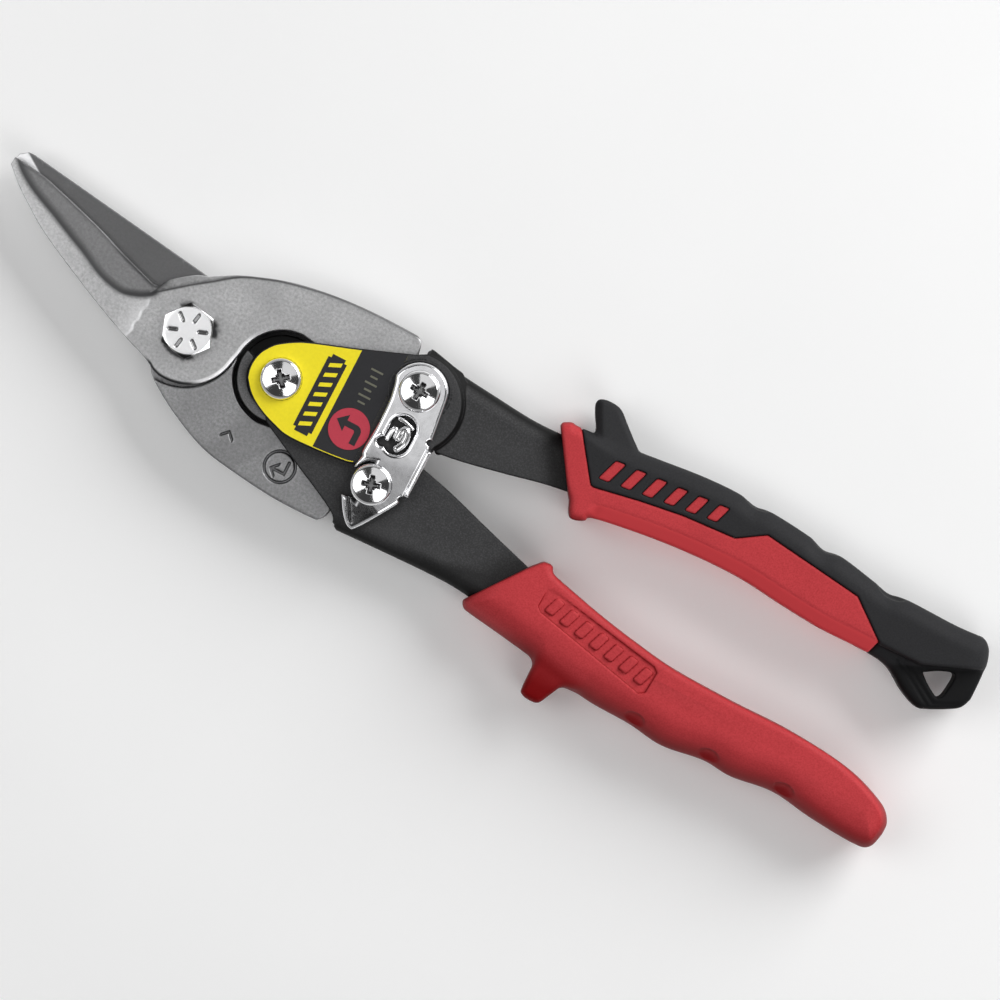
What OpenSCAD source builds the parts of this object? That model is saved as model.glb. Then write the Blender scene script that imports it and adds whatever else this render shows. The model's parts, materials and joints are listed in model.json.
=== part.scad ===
// Aviation snips: two forged blades, two channel handles, a latch and soft grips.
// The main bolt's axis is x = 0, y = 0. The tool lies on z = 0 with its jaws towards -x.

/* [Linkage] */
// Distance from the main bolt to the pivot where the two handles cross
handle_pivot_x = 24; // [23.8:0.1:24.2]
// Distance along the tool from the main bolt to the two link pivots
link_x = 53.5; // [53.3:0.1:53.7]
// Height of each link pivot above or below the centre line
link_y = 12; // [11.9:0.1:12.1]
// Angle between the handles when fully open
open_angle = 36; // [30:1:38]
// Angle that the latch turns while the handles open
latch_angle = 84; // [80:1:88]

/* [Blades] */
// Thickness of each blade's disc at the main bolt
disc_t = 3.4; // [3:0.1:3.6]
// Radius of each blade's disc round the main bolt
disc_r = 12.3; // [12:0.1:12.6]
// Thickness of each jaw
jaw_t = 2.6; // [2:0.1:3]
// Radius of the notch that clears the spacer between the handles
notch_r = 11.2; // [11:0.1:11.4]
// Radius of the round end of each blade's tail at its link pivot
tail_r = 6.2; // [6:0.1:6.6]

/* [Handles] */
// Thickness of the handles' sheet steel
sheet_t = 1.6; // [1.4:0.1:1.6]
// Radius of the step that raises the upper handle's side plates
step_r = 11.5; // [11.3:0.1:11.7]
// Outer radius of the spacer ring between the handles' side plates
spacer_r = 10.7; // [10.4:0.1:10.8]

/* [Grips] */
// Thickness of both grips
grip_t = 20; // [19:0.5:20]
// How far each rounded layer of a grip steps in
grip_round = 1.2; // [0.8:0.1:1.4]

/* [Fasteners] */
// Radius of the main bolt
bolt_r = 4; // [3.8:0.1:4]
// Distance from the centre to a corner of the main bolt's head
bolt_head_r = 6.6; // [6.4:0.1:7]
// Height of the main bolt's head
bolt_head_h = 4.2; // [4:0.1:5]
// Radius of the three screws
screw_r = 2.5; // [2.3:0.1:2.5]
// Radius of the screws' pan heads
screw_head_r = 4.8; // [4.6:0.1:4.9]
// Height of the screws' pan heads
screw_head_h = 2.6; // [2.4:0.1:3]
// Outer radius of the three pivot sleeves
sleeve_r = 4; // [3.8:0.1:4.2]

/* [Hidden] */
$fn = 64;

mid = 10;                                  // height of the tool's middle plane
slack = 0.05;                              // running clearance
cheek_in = disc_t + 2 * slack;             // lower handle's and channels' side plates
cheek_out = cheek_in + sheet_t;
plate_in = cheek_out + 2 * slack;          // upper handle's raised side plates
plate_out = plate_in + sheet_t;
label_t = 0.15;
latch_low = plate_out + 0.5;
latch_t = 1.5;
latch_high = latch_low + latch_t;
head_low = latch_high + 2 * slack;         // underside of the two link screws' heads
washer_t = 1;
nut_h = mid - plate_out - 0.1;

H = [handle_pivot_x, 0];
A = [link_x, link_y];
B = [link_x, -link_y];
step_centre = [53, 9];                     // centre of the upper handle's raised step
badge_centre = [43.1, -3];

// Jaws and tails
front_jaw_back = [[-53.4, 15.3], [-50, 12], [-45.8, 8.7], [-40, 4.9], [-30, -0.1], [-20, -4.7],
    [-11.7, -8.1], [-4, -10.8]];
front_jaw_edge = [[-12.1, 6], [-20, 8.5], [-30, 12], [-40, 14.9], [-46.3, 16.5], [-53.3, 17.4]];
front_shoulder = [[-1.7, 13.3], [-4.2, 12.4], [-7.5, 10.1], [-9.6, 8.2], [-10.6, 6.4]];
front_tail_back = [[48.9, 18.4], [48.8, 22.5], [47.5, 23.3], [35, 23.3], [25, 22.5], [15, 20.6],
    [5, 17], [-1.7, 13.3]];
front_tail_inside = [[24.5, 11.1], [35, 9.2], [48, 7]];
rear_jaw_back = [[-1.7, 13.2], [-50, 19.7], [-51.5, 19.7], [-53.1, 18.2], [-53.5, 16.4]];
rear_jaw_edge = [[-52.5, 14.6], [-40, 12.6], [-30, 9.7], [-20, 6.2], [-11, 2.6]];
rear_tail_back = [[-3.9, -11.6], [-2.2, -13.4], [5, -17.9], [15, -22.3], [25, -24.1], [35, -25.1],
    [45, -25], [46.1, -24.7], [47.1, -23.4], [47.8, -22.3]];
rear_tail_inside = [[48, -7], [35, -9.4], [24.5, -11.1]];

// Side plates and channels
plate_top = [[17.4, 4.2], [19.4, 6.7], [23.3, 9.3], [27.2, 11], [37.5, 14.7], [49, 19.2]];
plate_bottom = [[61.5, -1.2], [55, -5.6], [48.3, -9.3], [43.3, -10.4], [32.2, -11.1], [27.2, -10.1],
    [22.8, -8.4], [19.4, -6.2], [17, -3.4]];
upper_back = [[51.3, 21.5], [54.4, 21], [60, 20.1], [70, 19.1], [80, 18.3], [90, 18.6], [105, 20.4],
    [125, 21.6], [145, 20.8], [165, 18.4], [178, 17.8]];
upper_inside = [[178, 9.2], [165, 9.2], [145, 10.8], [125, 10.8], [105, 8.6], [90, 6.6], [80, 4.4],
    [70, 2.3], [63.4, 1.3]];
lower_front = [[25.5, -10.3], [33.9, -14.6], [47.2, -21.2], [49.6, -24]];
lower_back = [[51.1, -25.1], [60, -24.7], [75, -24.2], [84, -24.6], [100, -26.8],
    [120, -30.3], [140, -31.4], [160, -30.6], [182, -31]];
lower_inside = [[182, -23.4], [160, -21.4], [140, -21.2], [120, -18.8], [105, -15.4], [89.5, -11],
    [80, -8.2], [70, -5.2], [58, -2.2], [40, 3.2]];

// Grips
upper_grip_top = [[104.3, 22.9], [109, 23.4], [120, 24.6], [129, 24.9], [134, 24.1], [138, 24.5],
    [148, 23.6], [152.5, 22.4], [157, 22.8], [167, 21], [170.5, 20.4], [175, 21], [187, 20.9],
    [194.2, 21.2], [196.4, 19.4], [196.9, 15.6], [198, 11.3], [198, 7.4], [196.6, 4.4]];
upper_grip_bottom = [[195, 3.2], [190, 0.8], [187.5, 0.2], [183, 2], [177.5, 5.3], [171, 6.1],
    [160, 6], [150, 6.7], [136.5, 7.85], [120, 7.1], [103, 4.6], [99.3, 2.5], [97.3, 2.4],
    [95.6, 4.2]];
upper_guard = [[90.5, 22], [90.6, 28], [91.2, 29.5], [93.5, 30.1], [96.4, 29.6], [99, 27.2],
    [102, 24.3], [105, 22.9], [105, 18]];
grip_seam = [[98.5, 11], [110, 13], [120, 14.5], [133, 15.4], [139.3, 19.5], [152, 18.4],
    [164, 16.5], [173, 9.5], [171.2, 3]];
lower_grip_top = [[94.5, -11.6], [96.5, -9.5], [98.2, -9.2], [99.9, -11], [105, -12.3],
    [115, -14.6], [125, -16.4], [135, -17.7], [150, -18.1], [165, -18], [180, -19.4], [190, -22.7],
    [195, -26], [195.6, -29.5], [193.6, -33.4]];
lower_grip_bottom = [[189, -34.3], [178, -33.6], [167.5, -32.3], [157.5, -33.6], [150, -33.2],
    [140, -34.6], [131, -33.6], [122, -33.5], [112.6, -32.9], [111, -37], [108.6, -39.2],
    [106.2, -38.8], [105.6, -37], [105.4, -32], [103, -30.2], [95, -29], [86, -27.8]];

// Smooth curve through the points p, with n steps in each span
function curve(p, n = 5) = let (m = len(p) - 1) concat(
    [for (i = [0 : m - 1]) for (s = [0 : n - 1]) let (
        a = p[max(i - 1, 0)], b = p[i], c = p[i + 1], d = p[min(i + 2, m)], t = s / n)
        0.5 * (2 * b + t * (c - a) + t * t * (2 * a - 5 * b + 4 * c - d)
            + t * t * t * (3 * b - a - 3 * c + d))],
    [p[m]]);

// Arc round the point c from angle a0 to a1
function arc(c, r, a0, a1, n = 16) =
    [for (i = [0 : n]) let (t = a0 + (a1 - a0) * i / n) c + r * [cos(t), sin(t)]];

function unit(v) = v / norm(v);

// Point p turned t degrees round the point c
function turn(p, c, t) = let (d = p - c)
    c + [d[0] * cos(t) - d[1] * sin(t), d[0] * sin(t) + d[1] * cos(t)];

// Where the lower link pivot lies in the latch's own frame with the handles t degrees open
function collar_path(t) = turn(turn(B, H, -t), A, -t * latch_angle / open_angle);

// Flat shape between two heights measured from the middle plane
module slab(low, high) translate([0, 0, mid + low]) linear_extrude(high - low) children();

// The same shape on both sides of the middle plane
module both(low, high) {
    slab(low, high) children();
    slab(-high, -low) children();
}

module circle_at(c, r) translate(c) circle(r);

module drill(at, r) translate([at[0], at[1], -5]) cylinder(r = r, h = 40);

// Thin strip inside a channel's back, on the side given by way
module back_strip(edge, way) {
    inner = [for (p = edge) p + [0, way * sheet_t]];
    polygon(concat(edge, [for (i = [len(inner) - 1 : -1 : 0]) inner[i]]));
}

module front_outline() polygon(concat(
    curve(front_jaw_back), arc([0, 0], disc_r, 250, 352),
    arc(H, notch_r, 176, 92, 10), curve(front_tail_inside),
    arc(A, tail_r, 210, 450), curve(front_tail_back), curve(front_shoulder),
    curve(front_jaw_edge)));

module rear_outline() polygon(concat(
    rear_jaw_back, curve(rear_jaw_edge), arc([0, 0], disc_r, 168, 246),
    curve(rear_tail_back), arc(B, tail_r, 270, 510), curve(rear_tail_inside),
    arc(H, notch_r, 268, 184, 10), arc([0, 0], disc_r, 0, 94)));

module front_blade() color([0.62, 0.62, 0.63]) difference() {
    union() {
        slab(slack, jaw_t) front_outline();
        slab(slack, disc_t) difference() {
            front_outline();
            translate([-71, -20]) square([60, 50]);
        }
        slab(-disc_t, slack) difference() {
            front_outline();
            circle(disc_r + 1.3);
            translate([-77, -30]) square([80, 60]);
        }
        slab(-plate_in + slack, plate_in - slack) circle_at(A, tail_r);
    }
    drill([0, 0], bolt_r + slack);
    drill(A, sleeve_r + 0.3);
}

module rear_blade() color([0.5, 0.5, 0.52]) difference() {
    union() {
        slab(-disc_t, -slack) rear_outline();
        slab(-slack, disc_t) difference() {
            rear_outline();
            circle(disc_r + 1.3);
            translate([-83.5, -50]) square([80, 100]);
            translate([-20, 0]) square([60, 40]);
        }
    }
    drill([0, 0], bolt_r + slack);
    drill(B, sleeve_r + slack);
    translate([32.9, -18, mid + disc_t - 0.3]) difference() {
        cylinder(r = 3.9, h = 2);
        cylinder(r = 3.4, h = 2);
    }
}

module pivot_bolt() color([0.85, 0.85, 0.86]) {
    head_z = mid + disc_t + slack;
    difference() {
        intersection() {
            translate([0, 0, head_z]) rotate(-10) cylinder(r = bolt_head_r, h = bolt_head_h, $fn = 6);
            translate([0, 0, head_z]) rotate_extrude()
                polygon([[0, 0], [8, 0], [8, bolt_head_h - 1], [5.4, bolt_head_h], [0, bolt_head_h]]);
        }
        for (k = [0 : 5]) rotate(20 + 60 * k)
            translate([2, -0.4, head_z + bolt_head_h - 0.3]) cube([2.4, 0.8, 1]);
    }
    translate([0, 0, 0.3]) cylinder(r = bolt_r, h = head_z - 0.2);
}

module pivot_washer() color([0.75, 0.75, 0.76]) difference() {
    slab(-disc_t - washer_t, -disc_t) circle(8.5);
    drill([0, 0], bolt_r + slack);
}

module pivot_nut() color([0.8, 0.8, 0.81]) difference() {
    rotate(-10) cylinder(r = 7.5, h = mid - disc_t - washer_t, $fn = 6);
    drill([0, 0], bolt_r);
}

// Raised side plate of the upper handle, round both pivots
module plate_outline() polygon(concat(
    curve(plate_top), arc(step_centre, step_r, 100, -35), curve(plate_bottom),
    arc(H + [1, 0], 8.7, 200, 155, 5)));

module upper_handle() color([0.24, 0.24, 0.25]) difference() {
    side = concat(curve(upper_back), curve(upper_inside), arc(step_centre, step_r, -36, 80));
    union() {
        both(plate_in, plate_out) plate_outline();
        both(cheek_in, cheek_out) polygon(side);
        slab(-cheek_in, cheek_in) back_strip(curve(upper_back), -1);
        both(cheek_in, plate_out) intersection() {
            plate_outline();
            polygon(concat(arc(step_centre, step_r, -45, 110), arc(step_centre, step_r - 1.5, 110, -45)));
        }
    }
    drill(H, screw_r + slack);
    drill(A, screw_r + slack);
}

module lower_handle() color([0.24, 0.24, 0.25]) difference() {
    side = concat(arc(H, 7.2, 78, 262), curve(lower_front), curve(lower_back), curve(lower_inside));
    union() {
        both(cheek_in, cheek_out) polygon(side);
        slab(-cheek_in, cheek_in) back_strip(curve(lower_back), 1);
    }
    drill(H, sleeve_r + slack);
    drill(B, screw_r + slack);
}

// Ring round the handle pivot, open towards the handles to let the spring's legs out
module handle_spacer() color([0.35, 0.35, 0.36]) slab(-cheek_in, cheek_in) difference() {
    circle_at(H, spacer_r);
    circle_at(H, 7.8);
    translate([H[0] + 3, -7.6]) square([20, 15.2]);
}

module torsion_spring() color([0.7, 0.7, 0.72]) {
    wire_r = 0.85;
    coil_r = 6;
    turns = 3;
    sides = 8;
    steps = 16 * turns;
    leg = 17;
    low = mid - 2.6;
    pitch = 5.2 / turns;
    middle = [for (i = [0 : steps]) let (t = 90 + 360 * turns * i / steps + 180 * i / steps)
        [H[0] + coil_r * cos(t), coil_r * sin(t), low + pitch * turns * i / steps]];
    first = middle[0] + [leg, 0, 0];
    last = middle[steps] + [leg, 0, 0];
    path = concat([first], middle, [last]);
    n = len(path);
    points = [for (i = [0 : n - 1]) let (
        v = unit(path[min(i + 1, n - 1)] - path[max(i - 1, 0)]),
        u = unit(cross([0, 0, 1], v)), w = cross(v, u)) for (k = [0 : sides - 1])
        path[i] + wire_r * (cos(360 * k / sides) * u + sin(360 * k / sides) * w)];
    faces = concat(
        [for (i = [0 : n - 2]) for (k = [0 : sides - 1]) let (m = (k + 1) % sides)
            [i * sides + k, i * sides + m, (i + 1) * sides + m, (i + 1) * sides + k]],
        [[for (k = [sides - 1 : -1 : 0]) k]], [[for (k = [0 : sides - 1]) (n - 1) * sides + k]]);
    polyhedron(points, faces);
}

// Pan-head screw with a cross recess, from the height low up to its head at top
module screw(at, top, low) translate([at[0], at[1], 0]) difference() {
    union() {
        translate([0, 0, low]) cylinder(r = screw_r, h = top - low + 0.1);
        translate([0, 0, top]) rotate_extrude() polygon(concat([[0, 0], [screw_head_r, 0]],
            [for (t = [0 : 15 : 90]) [screw_head_r - 2.6 + 2.6 * cos(t),
                0.8 + (screw_head_h - 0.8) * sin(t)]], [[0, screw_head_h]]));
    }
    for (t = [20, 110]) translate([0, 0, top + screw_head_h - 1.5]) rotate(t)
        translate([-2.3, -0.5, 0]) cube([4.6, 1, 3]);
}

module sleeve(at, low, high) color([0.72, 0.72, 0.73]) difference() {
    slab(low, high) circle_at(at, sleeve_r);
    drill(at, screw_r + slack);
}

module hex_nut(at, low, h) color([0.8, 0.8, 0.81]) translate([at[0], at[1], low]) difference() {
    cylinder(r = 4.6, h = h, $fn = 6);
    translate([0, 0, -1]) cylinder(r = screw_r, h = h + 2);
}

module handle_pivot_screw() color([0.85, 0.85, 0.86]) screw(H, mid + plate_out, 0.5);
module handle_pivot_sleeve() sleeve(H, -plate_in, plate_in);
module handle_pivot_nut() hex_nut(H, 0.1, nut_h);
module upper_link_screw() color([0.85, 0.85, 0.86]) screw(A, mid + head_low, 0.5);
module upper_link_sleeve() sleeve(A, -plate_in, plate_in);
module upper_link_nut() hex_nut(A, 0.1, nut_h);
module lower_link_screw() color([0.85, 0.85, 0.86]) screw(B, mid + head_low, 1.9);
module lower_link_sleeve() sleeve(B, -cheek_in, cheek_in);
module lower_link_nut() hex_nut(B, mid - cheek_out - nut_h, nut_h);

module lower_link_collar() color([0.72, 0.72, 0.73]) difference() {
    slab(cheek_out, head_low) circle_at(B, 3);
    drill(B, screw_r + slack);
}

module latch_washer() color([0.75, 0.75, 0.76]) difference() {
    slab(plate_out, latch_low - slack) circle_at(A, 5.6);
    drill(A, screw_r + slack);
}

module latch_outline() difference() {
    polygon(concat(arc(A, 6.6, 8, 172), [[47.6, 12], [48.4, 9], [48.8, 0], [48.6, -6.5],
        [49.3, -9.5], [48.4, -12.5], [47.8, -16.4], [53.2, -23], [54.3, -23], [58.9, -16.8],
        [60.8, -12.9], [62.4, -11.5], [62.4, 0.5], [60.9, 6.6]]));
    translate([53.9, 1]) scale([3.3 / 4.85, 1]) circle(4.85);
    for (t = [0 : 0.5 : 14]) circle_at(collar_path(t), 3.35);
}

module latch() color([0.82, 0.82, 0.84]) difference() {
    union() {
        slab(latch_low, latch_high) latch_outline();
        slab(latch_low, latch_high + 2) translate([61.2, -11.5]) square([1.2, 10.5]);
    }
    drill(A, screw_r + 0.1);
}

// Bent leaf that snaps across the latch's slot
module latch_detent() color([0.85, 0.85, 0.86]) slab(latch_low, latch_low + 0.9)
    intersection() {
        translate([53.9, 1]) scale([3.3 / 4.85, 1]) circle(4.85);
        union() {
            difference() {
                circle_at([53.4, 2], 2.9);
                circle_at([53.4, 2], 1.9);
                translate([49, -3]) square([4.4, 5]);
            }
            translate([52.5, -4]) square([1.2, 4.2]);
            translate([52.5, -1]) square([3.2, 1]);
        }
    }

module label() color([0.95, 0.87, 0.2]) difference() {
    slab(plate_out, plate_out + label_t) intersection() {
        offset(delta = -0.3) plate_outline();
        translate([10, -20]) square([37, 40]);
    }
    drill(H, screw_head_r + 0.15);
}

module direction_badge() color([0.8, 0.24, 0.3])
    slab(plate_out + label_t, plate_out + 2 * label_t) circle_at(badge_centre, 4.8);

// Rounded slab: full outline in the middle, stepping in towards both faces
module grip_body() {
    half = grip_t / 2;
    slab(-half + 4, half - 4) children();
    for (k = [1 : 3]) slab(-half + [4, 2, 0.8, 0][k], half - [4, 2, 0.8, 0][k])
        offset(r = -grip_round * [0, 0.6, 1.5, 2.6][k]) children();
}

module upper_grip_outline() union() {
    polygon(concat([[86.2, 18.4], [85.8, 20.2], [87.2, 21.7], [90.5, 21.6]],
        curve(upper_grip_top), curve(upper_grip_bottom)));
    polygon(curve(upper_guard));
}

// The overmould's part of the upper grip: all that lies behind the seam
module overmold_side() polygon(concat([[90.5, 21.4], [90, 40], [210, 40], [210, -10], [171.2, -10]],
    [for (i = [len(grip_seam) - 1 : -1 : 0]) grip_seam[i]]));

module hang_hole() translate([188.9, 7.6, -1]) linear_extrude(grip_t + 2)
    offset(r = 0.8) polygon([[-2.9, 0.2], [2.7, 2.2], [1.8, -2.6]]);

module handle_room(edge) slab(-cheek_out, cheek_out) polygon(edge);

module upper_tang() handle_room(concat(curve(upper_back), curve(upper_inside)));
module lower_tang() handle_room(concat(curve(lower_back), curve(lower_inside)));

module upper_grip_core() color([0.74, 0.2, 0.24]) difference() {
    grip_body() upper_grip_outline();
    translate([0, 0, -1]) linear_extrude(grip_t + 2) overmold_side();
    upper_tang();
}

module upper_grip_overmold() color([0.17, 0.17, 0.18]) difference() {
    intersection() {
        grip_body() upper_grip_outline();
        translate([0, 0, -1]) linear_extrude(grip_t + 2) overmold_side();
    }
    upper_tang();
    hang_hole();
}

module lower_grip() color([0.74, 0.2, 0.24]) difference() {
    grip_body() polygon(concat(curve(lower_grip_top), curve(lower_grip_bottom),
        [[84.6, -27], [84.4, -24.5]]));
    lower_tang();
}

front_blade();
rear_blade();
pivot_bolt();
pivot_washer();
pivot_nut();
upper_handle();
lower_handle();
handle_spacer();
torsion_spring();
handle_pivot_screw();
handle_pivot_sleeve();
handle_pivot_nut();
upper_link_screw();
upper_link_sleeve();
upper_link_nut();
lower_link_screw();
lower_link_sleeve();
lower_link_collar();
lower_link_nut();
latch();
latch_washer();
latch_detent();
label();
direction_badge();
upper_grip_core();
upper_grip_overmold();
lower_grip();
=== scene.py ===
"""Looks of the aviation snips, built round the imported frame.

The pieces are worked out in millimetres as distance fields, which are negative inside a piece,
and each field is turned into a mesh by a surface net.
"""

import itertools
import json
import math

import bpy
import numpy as np
from mathutils import Matrix, Vector


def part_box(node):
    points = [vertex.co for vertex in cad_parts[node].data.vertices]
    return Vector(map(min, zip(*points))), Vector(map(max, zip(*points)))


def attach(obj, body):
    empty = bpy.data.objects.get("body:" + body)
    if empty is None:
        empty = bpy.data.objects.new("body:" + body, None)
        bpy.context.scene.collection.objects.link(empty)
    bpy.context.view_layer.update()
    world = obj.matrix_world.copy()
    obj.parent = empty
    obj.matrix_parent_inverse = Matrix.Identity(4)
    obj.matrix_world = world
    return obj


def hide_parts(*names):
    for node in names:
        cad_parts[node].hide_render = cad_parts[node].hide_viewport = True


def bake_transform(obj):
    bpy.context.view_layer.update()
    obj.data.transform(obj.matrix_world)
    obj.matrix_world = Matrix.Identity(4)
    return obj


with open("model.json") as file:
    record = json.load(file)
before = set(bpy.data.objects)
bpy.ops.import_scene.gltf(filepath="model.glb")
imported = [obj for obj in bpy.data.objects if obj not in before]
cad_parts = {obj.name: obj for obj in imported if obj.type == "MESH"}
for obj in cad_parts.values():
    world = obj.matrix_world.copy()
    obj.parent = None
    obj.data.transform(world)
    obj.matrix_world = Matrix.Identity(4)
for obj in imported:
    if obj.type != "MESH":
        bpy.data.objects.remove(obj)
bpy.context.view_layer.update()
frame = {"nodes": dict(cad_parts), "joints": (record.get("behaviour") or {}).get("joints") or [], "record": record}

MM = 0.001


# ---- the frame, in millimetres

def span(node):
    """Lowest and highest z of a CAD node."""
    low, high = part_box(node)
    return low.z / MM, high.z / MM


PIVOTS = {joint["name"]: np.array(joint["pos_m"][:2]) / MM for joint in frame["joints"]}
P, H = PIVOTS["blade_pivot"], PIVOTS["handle"]
A, B = PIVOTS["latch"], PIVOTS["rear_link"]
RATIOS = {c["joint"]: c["ratio"] for c in frame["record"]["behaviour"]["couplings"]}

MID = sum(span("lower_handle")) / 2
BLADE_H = span("rear_blade")[1] - MID
CHEEK_OUT = span("lower_handle")[1] - MID
PLATE_OUT = span("upper_handle")[1] - MID
SHEET = 1.6
CHEEK_IN = CHEEK_OUT - SHEET
PLATE_IN = PLATE_OUT - SHEET
GRIP_H = (span("lower_grip")[1] - span("lower_grip")[0]) / 2
BOLT_BORE = 4.05
SCREW_BORE = 2.6


# ---- outlines

def curve(points, n=8):
    """Smooth curve through the points."""
    p = np.array(points, float)
    out = []
    for i in range(len(p) - 1):
        a, b, c, d = p[max(i - 1, 0)], p[i], p[i + 1], p[min(i + 2, len(p) - 1)]
        for t in np.arange(n) / n:
            out.append(0.5 * (2 * b + t * (c - a) + t * t * (2 * a - 5 * b + 4 * c - d)
                              + t ** 3 * (3 * b - a - 3 * c + d)))
    return out + [p[-1]]


def arc(centre, r, start, end, n=24):
    """Points round a centre from one angle to another, in degrees."""
    turns = np.radians(np.linspace(start, end, n + 1))
    return [np.array(centre) + r * np.array([math.cos(t), math.sin(t)]) for t in turns]


def turned(point, centre, degrees):
    """The point turned round the centre."""
    t = math.radians(degrees)
    dx, dy = np.array(point) - np.array(centre)
    return np.array(centre) + [dx * math.cos(t) - dy * math.sin(t),
                               dx * math.sin(t) + dy * math.cos(t)]


# ---- distance fields

def inside_of(outline, x, y):
    """Signed distance to a closed outline, negative inside."""
    x, y = np.broadcast_arrays(x, y)
    nearest = np.full(x.shape, 1e9)
    inside = np.zeros(x.shape, bool)
    points = [np.asarray(p, float) for p in outline]
    for (ax, ay), (bx, by) in zip(points, points[1:] + points[:1]):
        ex, ey = bx - ax, by - ay
        length = ex * ex + ey * ey
        if length < 1e-9:
            continue
        t = np.clip(((x - ax) * ex + (y - ay) * ey) / length, 0, 1)
        nearest = np.minimum(nearest, (x - ax - t * ex) ** 2 + (y - ay - t * ey) ** 2)
        if ey:
            inside ^= ((ay > y) != (by > y)) & (x < ax + (y - ay) * ex / ey)
    away = np.sqrt(nearest)
    return np.where(inside, -away, away)


def beyond(start, end, x, y):
    """Signed distance from the line start to end, positive on its left."""
    dx, dy = np.array(end, float) - np.array(start, float)
    return ((y - start[1]) * dx - (x - start[0]) * dy) / math.hypot(dx, dy)


def smax(a, b, k):
    """Intersection of two fields with a blend about k wide."""
    h = np.maximum(k - np.abs(a - b), 0) / k
    return np.maximum(a, b) + h * h * k / 4


def smin(a, b, k):
    """Union of two fields with a blend about k wide."""
    return -smax(-a, -b, k)


def corner(a, b, r):
    """Intersection of two fields whose edge has the radius r."""
    a, b = a + r, b + r
    return np.minimum(np.maximum(a, b), 0) + np.hypot(np.maximum(a, 0), np.maximum(b, 0)) - r


def ramp(value, start, end):
    """0 before start, 1 after end, smooth between."""
    t = np.clip((value - start) / (end - start), 0, 1)
    return t * t * (3 - 2 * t)


def round_of(centre, x, y):
    """Distance from an upright axis."""
    return np.hypot(x - centre[0], y - centre[1])


def bored(body, centre, r, x, y):
    """The body with an upright hole through it."""
    return np.maximum(body, r - round_of(centre, x, y))


def egg(x, y, z, centre, radii):
    """Field of an ellipsoid, true near its surface."""
    q = [(v - c) / r for v, c, r in zip((x, y, z), centre, radii)]
    return (np.sqrt(q[0] ** 2 + q[1] ** 2 + q[2] ** 2) - 1) * min(radii)


def rod(x, y, z, start, end, r):
    """Field of a round-ended rod."""
    s, e = np.array(start, float), np.array(end, float)
    d = e - s
    t = np.clip(((x - s[0]) * d[0] + (y - s[1]) * d[1] + (z - s[2]) * d[2]) / (d @ d), 0, 1)
    return np.sqrt((x - s[0] - t * d[0]) ** 2 + (y - s[1] - t * d[1]) ** 2
                   + (z - s[2] - t * d[2]) ** 2) - r


# ---- meshes from fields

def surface_net(values, origin, step):
    """Vertices and quads of the surface where the sampled field is zero."""
    inside = values < 0
    cells = tuple(n - 1 for n in values.shape)
    count = np.zeros(cells, np.int8)
    for i, j, k in itertools.product((0, 1), repeat=3):
        count += inside[i:i + cells[0], j:j + cells[1], k:k + cells[2]]
    active = (count > 0) & (count < 8)
    index = np.full(cells, -1, np.int64)
    index[active] = np.arange(active.sum())
    base = np.argwhere(active)
    total = np.zeros((len(base), 3))
    hits = np.zeros(len(base))
    for axis, da, db in itertools.product(range(3), (0, 1), (0, 1)):
        first = np.zeros(3, int)
        first[(axis + 1) % 3], first[(axis + 2) % 3] = da, db
        second = first.copy()
        second[axis] = 1
        v0 = values[tuple((base + first).T)]
        v1 = values[tuple((base + second).T)]
        crossing = (v0 < 0) != (v1 < 0)
        spot = (base + first).astype(float)
        spot[:, axis] += np.where(crossing, v0 / np.where(crossing, v0 - v1, 1), 0)
        total += spot * crossing[:, None]
        hits += crossing
    vertices = np.array(origin) + step * total / hits[:, None]
    quads = []
    for axis in range(3):
        b, c = (axis + 1) % 3, (axis + 2) % 3
        lower = np.moveaxis(inside, (axis, b, c), (0, 1, 2))
        table = np.moveaxis(index, (axis, b, c), (0, 1, 2))
        change = (lower[:-1] != lower[1:])[:, 1:-1, 1:-1]
        i, j, k = (np.argwhere(change) + [0, 1, 1]).T
        ring = np.stack([table[i, j - 1, k - 1], table[i, j, k - 1], table[i, j, k],
                         table[i, j - 1, k]], 1)
        outward = lower[i, j, k]
        quads.append(np.where(outward[:, None], ring, ring[:, ::-1]))
    return vertices, np.concatenate(quads)


def slope(field, p, reach=0.02):
    """The field and its slope at points p."""
    here = field(*p.T)
    steps = [(field(*(p + reach * e).T) - here) / reach for e in np.eye(3)]
    return here, np.stack(steps, 1)


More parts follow.
